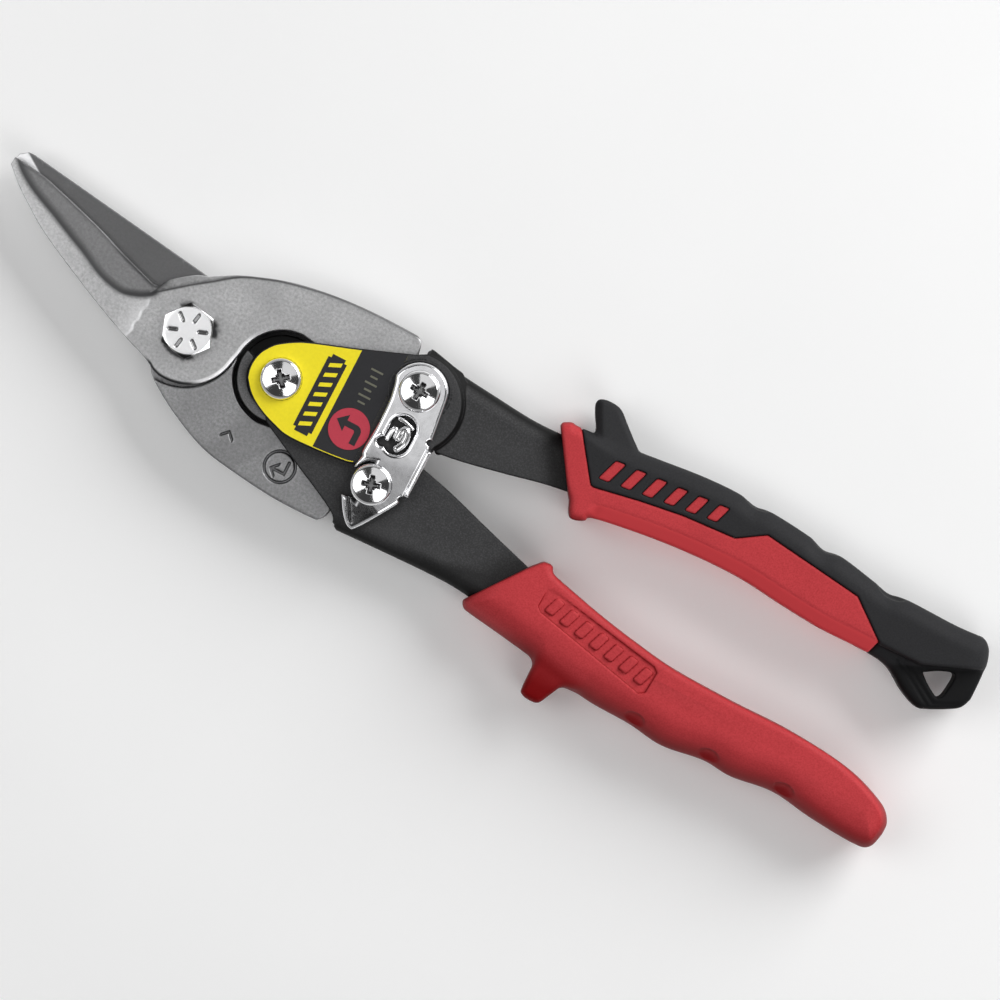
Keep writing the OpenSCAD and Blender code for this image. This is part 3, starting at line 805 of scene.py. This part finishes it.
REAR_JAW_EDGE = [(-52.5, 14.6), (-40, 12.6), (-30, 9.7), (-20, 6.2), (-11, 2.6)]
REAR_TAIL_BACK = [(-3.9, -11.6), (-2.2, -13.4), (5, -17.9), (15, -22.3), (25, -24.1), (35, -25.1),
                  (44.5, -25.1), (46.3, -24.6), (47.3, -23.3), (47.8, -21.2), (48.3, -18.6)]
REAR_OUTLINE = (REAR_JAW_BACK + curve(REAR_JAW_EDGE) + arc(P, DISC_R - 1.2, 168, 240)
                + curve(REAR_TAIL_BACK) + arc(B, 6.2, 270, 510)
                + curve([(48, -7), (35, -9.4), (24.5, -11.1)]) + arc(H, NOTCH_R, 268, 184, 12)
                + arc(P, DISC_R, 0, 94))


def half_thick(outline, thick, rise):
    """A blade on the upper side, with its full thickness only where thick is negative."""
    half = BLADE_H / 2
    thin = corner(outline, np.abs(rise - half - 0.025) - half + 0.025, 0.1)
    full = corner(np.maximum(outline, thick), np.abs(rise) - BLADE_H, 0.4)
    return smin(thin, full, 0.15)


def front_blade(x, y, z):
    rise = z - MID
    outline = inside_of(FRONT_OUTLINE, x, y)
    thick = np.maximum(DISC_R + 1.3 - round_of(P, x, y), 3 - x)
    body = half_thick(outline, thick, rise)
    jaw = np.maximum(jaw_start(x, y), 0)
    face = BLADE_H - 0.5 * np.maximum(inside_of(FRONT_FACE, x, y), 0)
    face = face - 0.02 * jaw - 0.14 * ramp(jaw, 0, 0.8)
    deep = -inside_of(HOLLOW, x, y)
    on_jaw = ramp(jaw, -0.5, 2)
    face = face - on_jaw * (0.35 * ramp(deep, 0, 2.4) - 0.01 * np.maximum(deep - 2, 0))
    face = face - 0.1 * ramp(0.6 + outline, 0, 0.6) * ramp(deep, 1, 3)
    face = face - 0.5 * np.maximum(0.7 + outline, 0) * under(x, y)
    face = face - 0.27 * np.maximum(0.95 + outline, 0) * crescent(x, y)
    edge_r = 0.15 + 0.25 * ramp(y, 6, 12) * (1 - on_jaw)
    body = smax(corner(outline, rise - face, edge_r), body, 0.2)
    body = bored(body, P, BOLT_BORE, x, y)
    return np.maximum(body, 4.3 - round_of(A, x, y))


def turn_arrow(x, y, centre):
    """Field of a bent arrow, as drawn lines about 0.6 wide."""
    u, v = x - centre[0], y - centre[1]
    shaft = np.maximum(np.abs(v + 1.1) - 0.3, np.abs(u - 0.2) - 1.7)
    upright = np.maximum(np.abs(u - 1.6) - 0.3, np.abs(v - 0.3) - 1.7)
    head = np.maximum(np.abs(np.abs(v + 1.1) - (u + 1.8)) * 0.7 - 0.25, np.abs(u + 1.1) - 0.9)
    return np.minimum(np.minimum(shaft, upright), head)


def rear_tip(x, y):
    """How far out from the line where the jaw's tip is ground away."""
    return beyond((-46.5, 16.2), (-51.6, 19.6), x, y)


def rear_blade(x, y, z):
    rise = z - MID
    outline = inside_of(REAR_OUTLINE, x, y)
    thick = np.maximum(DISC_R + 1.5 - round_of((-1.1, 0.4), x, y), -3.5 - x)
    body = half_thick(outline, thick, -rise)
    body = smax(body, rise + 0.05 + 0.1 * np.maximum(rear_tip(x, y), 0) - FAR * (x > -40), 0.15)
    ring = np.abs(round_of(STAMP, x, y) - 3.6) - 0.28
    u, v = x - CHEVRON[0], y - CHEVRON[1]
    chevron = np.maximum(np.abs(np.abs(u) * 0.7 + v * 0.7) - 0.25, np.abs(u) - 1.6)
    mark = np.minimum(np.minimum(ring, turn_arrow(x, y, STAMP)), chevron)
    stamp = np.maximum(mark, BLADE_H - 0.35 - rise)
    body = smax(body, -stamp, 0.2)
    body = bored(body, P, BOLT_BORE, x, y)
    return bored(body, B, BOLT_BORE, x, y)


def jaw_start(x, y):
    """How far the place is out on the jaw from where its ground band begins."""
    return JAW_START + 0.1 * y + 0.2 * np.sin(1.9 * y) - x


def on_top(z):
    """True on a blade's upper side."""
    return z > MID + 0.5


def under(x, y):
    """1 along the lowest part of the disc's edge."""
    return ramp(-y, 9, 10.5) * ramp(-x, -9, -5) * ramp(x, -7, -4)


def crescent(x, y):
    """1 beside the handle pivot, where the disc's edge is chamfered."""
    return ramp(x, 3, 9) * ramp(-x, -26, -15) * ramp(-y, -11, -1)


def shadow_patches(x, y):
    """Painted shadow patches about the main bolt's corners, by their bearing from it."""
    angle = np.degrees(np.arctan2(y, x)) % 360
    return np.max([ramp(wide - np.abs(angle - at), 0, 8) for at, wide in SHADOW_BEARINGS], 0)


def front_shade(x, y, z):
    """Painted shade on the jaw's concave ground face, by the cutting edge and along the shoulder, darkest by the
    far wall; painted shade along the disc's lowest edge and painted shadow round the main bolt.
    """
    deep = -inside_of(HOLLOW, x, y)
    jaw = ramp(jaw_start(x, y), -1.5, 0.5) * on_top(z)
    wall = ramp(deep, -0.3, 0.1) * ramp(-deep, -2.6, -0.2)
    outline = inside_of(FRONT_OUTLINE, x, y)
    edge = ramp(outline, -1.1, -0.5) * ramp(deep, 0.5, 1.5) * (0.1 + 0.2 * ramp(x, -26, -20))
    shoulder = np.exp(-((inside_of(FRONT_FACE, x, y) - 0.25) / 0.3) ** 2) * (x > -12)
    hollow_shade = (0.7 * ramp(deep, 0, 0.8) + 0.42 * wall + edge) * jaw
    below = 1.2 * ramp(0.8 + outline, 0, 0.4) * under(x, y) * on_top(z)
    bolt_shadow = 1.3 * shadow_patches(x, y) * ramp(6.9 - round_of(P, x, y), 0, 0.6) * on_top(z)
    return np.max([hollow_shade, 0.9 * shoulder, below, bolt_shadow], 0)


def front_gleam(x, y, z):
    """Painted highlight along the jaw's ground band, the shoulder's bevel and the chamfer by the handle pivot."""
    outline = inside_of(FRONT_OUTLINE, x, y)
    jaw = jaw_start(x, y)
    band = ramp(jaw, 0, 0.3) * ramp(inside_of(HOLLOW, x, y), 0.1, 0.6)
    band = band * (0.04 + 0.3 * ramp(-jaw, -6, 0) + 0.12 * ramp(jaw, 18, 30))
    bevel = 0.3 * ramp(inside_of(FRONT_FACE, x, y), 0.6, 1) * (x > -12)
    chamfer = ramp(1.1 + outline, 0, 0.3) * crescent(x, y)
    cut = ramp(-inside_of(HOLLOW, x, y), 0, 1)
    return np.clip(band + bevel + chamfer - cut, 0, 1) * on_top(z)


def rear_shade(x, y, z):
    """Darker on the jaw than on the tail, with a dull patch across the tail."""
    jaw = 0.85 * ramp(-x, -4, 4) * (y > -3) * (1 - ramp(rear_tip(x, y), -0.1, 0.2) * (x < -40))
    left = beyond((14.5, -22), (20, -12.5), x, y)
    right = beyond((23.5, -24), (31, -13), x, y)
    return np.maximum(jaw, 0.2 * ramp(-left, -0.5, 1.5) * ramp(right, -0.3, 0.8) * (z > MID))


def rear_gleam(x, y, z):
    """Painted highlight on the ground tip."""
    return ramp(rear_tip(x, y), 0, 0.3) * (x < -40) * (z > MID - 2)


def build_blades():
    piece("front_blade_forged", front_blade, (-54.5, -13, 6), (61, 24, 14), 0.24, 0.3,
          "front_blade", "front_blade", ["front_blade"], STEEL_FRONT,
          {"shade": front_shade, "gleam": front_gleam})
    piece("rear_blade_forged", rear_blade, (-54.5, -26, 6), (61, 21, 14), 0.24, 0.3,
          "rear_blade", "rear_blade", ["rear_blade"], STEEL_REAR,
          {"shade": rear_shade, "gleam": rear_gleam})


# ---- fasteners

def pan_head(centre, node, turn):
    """Pan-head screw, turned to a low cone, with a cross recess; also the painted shade in its recess."""
    low, high = span(node)
    head, r, lean = high - 2.6, 4.85, 0.22

    def recess(x, y, z):
        depth = high - z
        t = math.radians(turn)
        u = (x - centre[0]) * math.cos(t) + (y - centre[1]) * math.sin(t)
        v = (y - centre[1]) * math.cos(t) - (x - centre[0]) * math.sin(t)
        cut = np.maximum(np.abs(u), np.abs(v)) - 1.1 + 0.3 * depth
        for a, b in ((u, v), (v, u)):
            arm = np.maximum(np.abs(a) - 2.3 + 0.35 * depth, np.abs(b) - 0.6 + 0.1 * depth)
            cut = smin(cut, arm, 0.15)
        return cut

    def field(x, y, z):
        rho = round_of(centre, x, y)
        depth = high - z
        cap = (lean * np.maximum(rho - 0.6, 0) - depth) * 0.985
        body = np.maximum(corner(cap, rho - r, 0.9), head - z)
        body = smax(body, -np.maximum(recess(x, y, z), depth - 2.0), 0.15)
        return np.minimum(body, np.maximum(np.maximum(rho - 2.45, low - z), z - head - 0.3))

    def painted_shade(x, y, z):
        depth = high - z - lean * round_of(centre, x, y)
        return ramp(-recess(x, y, z), -0.15, 0.05) * (0.75 * ramp(depth, 0.1, 0.4)
                                                      + 0.25 * (depth < 1.5))

    return field, painted_shade


def hexagon(x, y, centre, corner_r, turn):
    """Field of an upright hexagon with one corner at the angle turn."""
    flat = corner_r * math.cos(math.pi / 6)
    out = None
    for k in range(3):
        t = math.radians(turn + 30 + 60 * k)
        d = np.abs((x - centre[0]) * math.cos(t) + (y - centre[1]) * math.sin(t)) - flat
        out = d if out is None else smax(out, d, 0.25)
    return out


def main_bolt(x, y, z):
    low, high = span("pivot_bolt")
    head = high - 4.2
    rho = round_of(P, x, y)
    body = smax(hexagon(x, y, P, 6.6, -10), head - z, 0.2)
    body = smax(body, ((z - high) + (rho - 5.5) * 0.42) * 0.92, 0.15)
    body = smax(body, z - high, 0.25)
    for k in range(6):
        t = math.radians(20 + 60 * k)
        way = np.array([math.cos(t), math.sin(t)])
        mark = rod(x, y, z, (*(2.6 * way), high + 0.05), (*(4.3 * way), high + 0.05), 0.5)
        body = smax(body, -mark, 0.08)
    return np.minimum(body, np.maximum(np.maximum(rho - 3.98, low - z), z - head - 0.3))


def nut(centre, node, corner_r, bore, turn=0):
    """Hexagon nut, chamfered on both faces."""
    low, high = span(node)

    def field(x, y, z):
        rho = round_of(centre, x, y)
        body = smax(hexagon(x, y, centre, corner_r, turn), np.abs(z - (low + high) / 2)
                    - (high - low) / 2, 0.2)
        for face in (low - z, z - high):
            body = smax(body, (face + (rho - 0.86 * corner_r) * 0.577) * 0.866, 0.2)
        return smax(body, bore - rho, 0.3)

    return field


def around(centre, r, node):
    """Box round an upright piece, from a CAD node's heights."""
    low, high = span(node)
    return (centre[0] - r, centre[1] - r, low), (centre[0] + r, centre[1] + r, high)


def bolt_shade(x, y, z):
    """Painted shade in the radial marks and in patches round the corners."""
    high = span("pivot_bolt")[1]
    rho = round_of(P, x, y)
    patch = shadow_patches(x, y) * ramp(rho, 5.5, 5.8)
    return np.maximum(0.75 * ramp(high - 0.12 - z, 0, 0.15) * (rho < 4.9), 0.95 * patch)


def bolt_satin(x, y, z):
    """The top's flat."""
    return ramp(5.5 - round_of(P, x, y), 0, 0.2) * (z > span("pivot_bolt")[1] - 0.3)


def build_fasteners():
    for name, centre, body, turn in (("handle_pivot", H, "upper_handle", 40),
                                     ("upper_link", A, "upper_handle", -5),
                                     ("lower_link", B, "lower_handle", 15)):
        field, painted_shade = pan_head(centre, name + "_screw", turn)
        piece(name + "_pan_screw", field, *around(centre, 5, name + "_screw"), 0.11, 0.4, body,
              "hardware", [name + "_screw"], CHROME, {"painted_shade": painted_shade})
        piece(name + "_hex_nut", nut(centre, name + "_nut", 4.6, 2.5),
              *around(centre, 5, name + "_nut"), 0.16, 0.5, body, "zinc", [name + "_nut"], ZINC)
    piece("main_bolt", main_bolt, *around(P, 7, "pivot_bolt"), 0.13, 0.4, "rear_blade",
          "hardware", ["pivot_bolt"], BOLT, {"painted_shade": bolt_shade, "satin": bolt_satin})
    piece("main_nut", nut(P, "pivot_nut", 7.5, 4.05, -10), *around(P, 8, "pivot_nut"), 0.2, 0.5,
          "rear_blade", "zinc", ["pivot_nut"], ZINC)


# ---- latch

SLOT_CENTRE = (54.1, 1.1)


def collar_path():
    """Where the lower link pivot goes, seen from the latch, while the handles open."""
    return [turned(turned(B, H, -t), A, -t * RATIOS["latch"]) for t in np.arange(0, 15, 0.5)]


COLLAR_PATH = collar_path()
LATCH_OUTLINE = arc(A, 6.7, 8, 172) + curve([(47.5, 11), (48.2, 7), (48.4, 0), (48.1, -5.6),
                                             (48.5, -7)], 5) \
    + curve([(48.1, -9), (47.9, -15.9), (48.1, -16.7), (50.2, -20.2), (52.2, -22.6), (53.7, -23.3),
             (54.6, -22.9), (57.5, -18.8), (60.9, -13.4), (61.2, -12.2)], 5) \
    + [(62.3, -11.4), (62.4, 0.4), (61.6, 1.6), (61, 6.6)]


def latch_plate(x, y, z):
    low, high = span("latch")
    outline = inside_of(LATCH_OUTLINE, x, y)
    notch = np.min([round_of(spot, x, y) for spot in COLLAR_PATH], 0) - 3.35
    notch = np.minimum(notch, np.maximum(round_of(B, x, y) - 5.2, x - 51.8))
    oval = np.hypot(x - SLOT_CENTRE[0], np.maximum(np.abs(y - SLOT_CENTRE[1]) - 1.6, 0)) - 3.0
    slot = smin(oval, round_of((51.2, -2), x, y) - 1.05, 0.3)
    plan = smax(smax(outline, -notch, 0.3), -slot, 0.2)
    hook = np.maximum(-15.6 - y - 0.35 * (x - 54), 0)
    face = low + 1.5 - 0.13 * hook
    rim = 0.22 * ramp(oval, 0.9, 0.4)
    body = corner(plan, z - face - rim, 1.0)
    arm = beyond((49.4, -15.9), (52.7, -21.6), x, y)
    groove = np.maximum(np.abs(arm - 0.2) - 0.25, np.maximum(y + 16.2, -21.8 - y))
    body = smax(body, -np.maximum(groove, face - 0.5 - z), 0.2)
    body = smax(body, low - z, 0.2)
    flange = np.maximum(np.abs(x - 61.8) - 0.6,
                        np.abs(y + 5) - 6.2 + 0.25 * np.maximum(z - face, 0))
    flange = smax(smax(flange, z - high + 0.05, 0.7), low - z, 0.2)
    body = smin(body, flange, 0.4)
    for spot in ((61.2, -11.9), (61.0, 2.6)):
        body = smax(body, 0.7 - round_of(spot, x, y), 0.3)
    return bored(body, A, SCREW_BORE, x, y)


def latch_shade(x, y, z):
    """Painted shade inside the hook, and darker towards it."""
    inner = -inside_of(LATCH_OUTLINE, x, y)
    hook = ramp(-15.6 - y - 0.35 * (x - 54), 0.2, 1.2) * ramp(inner, 0.75, 1.0)
    return np.maximum(0.75 * hook, 0.4 * ramp(-y, 1, 7) * ramp(inner, 0.9, 1.3))


DETENT = [(51.9, -0.9), (52.0, 0.9), (52.5, 1.9), (53.2, 1.3), (53.4, 0.1)]
DETENT_LOOP = [(54, 0.3), (54.2, 2.1), (55, 2.6), (55.7, 1.5), (55.7, -0.4), (54.9, -2.0)]
DETENT_BAR = [(52.4, 4.4), (54, 4.3), (56, 3.6)]


def detent(x, y, z):
    low = span("latch_detent")[0]
    body = None
    for points, r in ((DETENT, 0.65), (DETENT_LOOP, 0.95), (DETENT_BAR, 0.55)):
        way = curve(points, 4)
        for a, b in zip(way, way[1:]):
            d = rod(x, y, z, (*a, low + r), (*b, low + r), r)
            body = d if body is None else np.minimum(body, d)
    return body


def build_latch():
    piece("latch_hook", latch_plate, (46.5, -24, 17), (63, 20, 21), 0.17, 0.45, "latch",
          "hardware", ["latch"], LATCH_PLATE, {"painted_shade": latch_shade})
    piece("latch_wire", detent, (50, -4, 16.8), (57, 6.5, 19), 0.14, 0.5, "latch", "hardware",
          ["latch_detent"], CHROME)


# ---- label

def from_curve(name, shape, material):
    """A mesh piece made from a curve."""
    temp = added(name + "_curve", shape)
    mesh = baked(temp)
    bpy.data.objects.remove(temp)
    mesh.name = name
    mesh.materials.clear()
    mesh.materials.append(material)
    return added(name, mesh)


def outline_mesh(name, loops, z_low, z_high, material, slot, stands_for=()):
    """Flat plate filled between closed outlines; the first is its rim and the rest are holes."""
    shape = bpy.data.curves.new(name, "CURVE")
    shape.dimensions = "2D"
    shape.fill_mode = "BOTH"
    shape.extrude = (z_high - z_low) / 2 * MM
    for loop in loops:
        spline = shape.splines.new("POLY")
        spline.points.add(len(loop) - 1)
        for point, (x, y) in zip(spline.points, loop):
            point.co = (x * MM, y * MM, 0, 1)
        spline.use_cyclic_u = True
    ob = from_curve(name, shape, material)
    ob.data.transform(Matrix.Translation((0, 0, (z_low + z_high) / 2 * MM)))
    return place(ob, "upper_handle", slot, stands_for)


FILM = 0.03
BADGE = (43.1, -3)


def build_label():
    low, high = span("label")
    inset = 0.35
    centre = np.array([33, 1.5])
    rim = []
    for i, p in enumerate(PLATE):
        way = PLATE[(i + 1) % len(PLATE)] - PLATE[i - 1]
        side = np.array([way[1], -way[0]]) / max(np.linalg.norm(way), 1e-6)
        rim.append(p + inset * side * (1 if (centre - p) @ side > 0 else -1))
    split, end = 37.5, 47.4
    hole = arc(H, 4.95, 0, 345, 23)
    outline_mesh("label_yellow", [clipped(rim, 0, end), hole], low, high - FILM, YELLOW_INK,
                 "label", ["label"])
    black = [p + (0, 0.2 if p[1] < 0 else 0.15) for p in clipped(rim, split, end)]
    outline_mesh("label_black", [black], high - FILM, high, BLACK_INK, "label")
    band = [(31.3, -8), (32, -8), (32, -8.9), (35.3, -8.9), (35.3, -8), (36, -8), (36, 9.7),
            (35.3, 9.7), (35.3, 10.6), (32, 10.6), (32, 9.7), (31.3, 9.7)]
    outline_mesh("label_band", [band], high, high + FILM, BLACK_INK, "label")
    for k in range(7):
        y = -7.6 + 2.5 * k
        bar = [(32.3, y), (35, y + 1.2), (35, y + 2.2), (32.3, y + 1)]
        outline_mesh("band_stripe_%d" % k, [bar], high + FILM, high + 2 * FILM, YELLOW_INK,
                     "label")
    for k in range(6):
        y = 3.4 + 1.6 * k
        left, right = (41.3, 44.3) if k % 2 else (41.9, 43.7)
        tick = [(left, y), (right, y), (right, y + 0.45), (left, y + 0.45)]
        outline_mesh("label_tick_%d" % k, [tick], high, high + FILM, GREY_INK, "label")
    low, high = span("direction_badge")
    outline_mesh("badge_disc", [arc(BADGE, 4.8, 0, 352, 44)], low, high, RED_INK, "badge",
                 ["direction_badge"])
    bend = [(1.3 + 1.6 * math.sin(t), 1.6 * math.cos(t)) for t in np.radians([20, 45, 70, 90])]
    arrow = ([(-3.6, 0.9), (-1.2, 3), (-1.2, 1.6), (1.3, 1.6)] + bend
             + [(2.9, -3), (1.4, -3), (1.4, -0.2), (1.1, 0.2), (-1.2, 0.2), (-1.2, -1.2)])
    outline_mesh("badge_arrow", [[(BADGE[0] + u, BADGE[1] + v) for u, v in arrow]], high,
                 high + FILM, BLACK_INK, "badge")


def clipped(outline, x0, x1):
    """The part of an outline between two x values."""
    points = [np.asarray(p, float) for p in outline]
    for limit, sign in ((x0, 1), (x1, -1)):
        kept = []
        for a, b in zip(points, points[1:] + points[:1]):
            in_a, in_b = sign * (a[0] - limit) >= 0, sign * (b[0] - limit) >= 0
            if in_a:
                kept.append(a)
            if in_a != in_b:
                kept.append(a + (b - a) * (limit - a[0]) / (b[0] - a[0]))
        points = kept
    return points


# ---- CAD nodes that stay

def finish_nodes():
    """Rounds the edges of the small turned pieces and gives each its finish."""
    finishes = {"pivot_washer": ZINC, "handle_pivot_sleeve": ZINC,
                "upper_link_sleeve": ZINC, "lower_link_sleeve": ZINC, "lower_link_collar": ZINC,
                "latch_washer": ZINC}
    for name, material in finishes.items():
        node = frame["nodes"][name]
        node.data.materials.clear()
        node.data.materials.append(material)
        weld = node.modifiers.new("weld", "WELD")
        weld.merge_threshold = 1e-6
        edge = node.modifiers.new("edge", "BEVEL")
        edge.width = 0.00015
        edge.segments = 2
        edge.limit_method = "ANGLE"
        edge.angle_limit = math.radians(40)


def build_spring():
    """Coil spring with a straight leg at each end, in place of the CAD spring, which is hidden."""
    low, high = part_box("torsion_spring")
    turns, wire, r = 3.5, 0.85, 6.0
    leg = np.array([17, 0, 0])
    z0, z1 = low.z / MM + wire, high.z / MM - wire
    steps = 180
    path = []
    for i in range(steps + 1):
        t = math.radians(90 + 360 * turns * i / steps)
        path.append(np.array([H[0] + r * math.cos(t), r * math.sin(t),
                              z0 + (z1 - z0) * i / steps]))
    path = [path[0] + leg] + path + [path[-1] + leg]
    shape = bpy.data.curves.new("spring_coil", "CURVE")
    shape.dimensions = "3D"
    shape.bevel_depth = wire * MM
    shape.bevel_resolution = 4
    shape.use_fill_caps = True
    spline = shape.splines.new("POLY")
    spline.points.add(len(path) - 1)
    for point, p in zip(spline.points, path):
        point.co = (*[c * MM for c in p], 1)
    ob = from_curve("spring_coil", shape, SPRING_STEEL)
    ob.data.shade_smooth()
    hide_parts("torsion_spring")
    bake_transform(ob)


# ---- camera, light and floor

IMAGE_TURN = math.radians(27.37)
VIEW_CENTRE = (0.08125, -0.00156)
VIEW_WIDTH = 0.2292
CAMERA_HEIGHT = 1.6
FACE_HEIGHT = 0.014
TENT_PLAIN = 0.051
TENT_GLOSSY = 0.27
LAMP_AWAY = 1.45
LAMPS = (("key", 62, 58, 1.0, 1.0, 19), ("left", 192, 31, 0.9, 0.85, 5),
         ("right", -28, 31, 0.9, 0.6, 3.8), ("top", 87, 14, 0.85, 0.7, 1.25))


def build_stage():
    camera = bpy.data.objects.new("camera", bpy.data.cameras.new("camera"))
    sensor = 36
    camera.data.sensor_width = sensor
    camera.data.lens = sensor * (CAMERA_HEIGHT - FACE_HEIGHT) / VIEW_WIDTH
    camera.location = (*VIEW_CENTRE, CAMERA_HEIGHT)
    camera.rotation_euler = (0, 0, IMAGE_TURN)
    bpy.context.scene.collection.objects.link(camera)
    bpy.context.scene.camera = camera

    mesh = bpy.data.meshes.new("floor")
    r = 3.0
    mesh.from_pydata([(-r, -r, 0), (r, -r, 0), (r, r, 0), (-r, r, 0)], [], [(0, 1, 2, 3)])
    floor = added("floor", mesh)
    p = Paint("pale_floor", roughness=0.9)
    p.shader.inputs["Specular IOR Level"].default_value = 0.1
    cloud = p.noise(6, 3)
    p.shader.inputs["Emission Color"].default_value = (1, 1, 1, 1)
    p.shader.inputs["Emission Strength"].default_value = 0.12
    pale = p.mix(p.fit(cloud, 0.3, 0.7), (0.88, 0.88, 0.88), (0.92, 0.92, 0.92))
    mesh.materials.append(p.done(pale))
    for lamp in LAMPS:
        softbox(*lamp)
    build_world()


def softbox(name, azimuth, lean, length, width, power):
    """Rectangular light whose place is an azimuth and a lean from upright, in degrees."""
    a, b = math.radians(azimuth), math.radians(lean)
    aim = Vector((math.cos(a) * math.sin(b), math.sin(a) * math.sin(b), math.cos(b)))
    lamp = bpy.data.objects.new(name, bpy.data.lights.new(name, "AREA"))
    lamp.data.shape = "RECTANGLE"
    lamp.data.size = width
    lamp.data.size_y = length
    lamp.data.energy = power
    lamp.location = Vector((*VIEW_CENTRE, 0)) + LAMP_AWAY * aim
    lamp.rotation_euler = aim.to_track_quat("Z", "Y").to_euler()
    lamp.visible_camera = False
    bpy.context.scene.collection.objects.link(lamp)


def build_world():
    """Tent that is dark overhead and a little brighter on one side, mostly for reflections."""
    world = bpy.data.worlds.new("studio")
    world.use_nodes = True
    tree = world.node_tree
    way = tree.nodes.new("ShaderNodeSeparateXYZ")
    place = tree.nodes.new("ShaderNodeTexCoord").outputs["Generated"]
    tree.links.new(place, way.inputs[0])
    ranges = []
    for axis, numbers in (("Z", (0.6, 0.8, 1.0, 0.12)), ("Y", (-0.5, 0.7, 1.35, 1.5))):
        node = tree.nodes.new("ShaderNodeMapRange")
        map_range(node, numbers)
        tree.links.new(way.outputs[axis], node.inputs["Value"])
        ranges.append(node.outputs["Result"])
    shine = tree.nodes.new("ShaderNodeMapRange")
    map_range(shine, (0, 1, TENT_PLAIN, TENT_GLOSSY))
    glossy = tree.nodes.new("ShaderNodeLightPath").outputs["Is Glossy Ray"]
    tree.links.new(glossy, shine.inputs["Value"])
    strength = shine.outputs["Result"]
    for share in ranges:
        node = tree.nodes.new("ShaderNodeMath")
        node.operation = "MULTIPLY"
        tree.links.new(strength, node.inputs[0])
        tree.links.new(share, node.inputs[1])
        strength = node.outputs[0]
    background = tree.nodes["Background"]
    background.inputs["Color"].default_value = (1, 1, 1, 1)
    tree.links.new(strength, background.inputs["Strength"])
    bpy.context.scene.world = world
    bpy.context.scene.view_settings.view_transform = "Standard"


build_stage()
build_grips()
build_handles()
build_blades()
build_fasteners()
build_latch()
build_label()
build_spring()
finish_nodes()
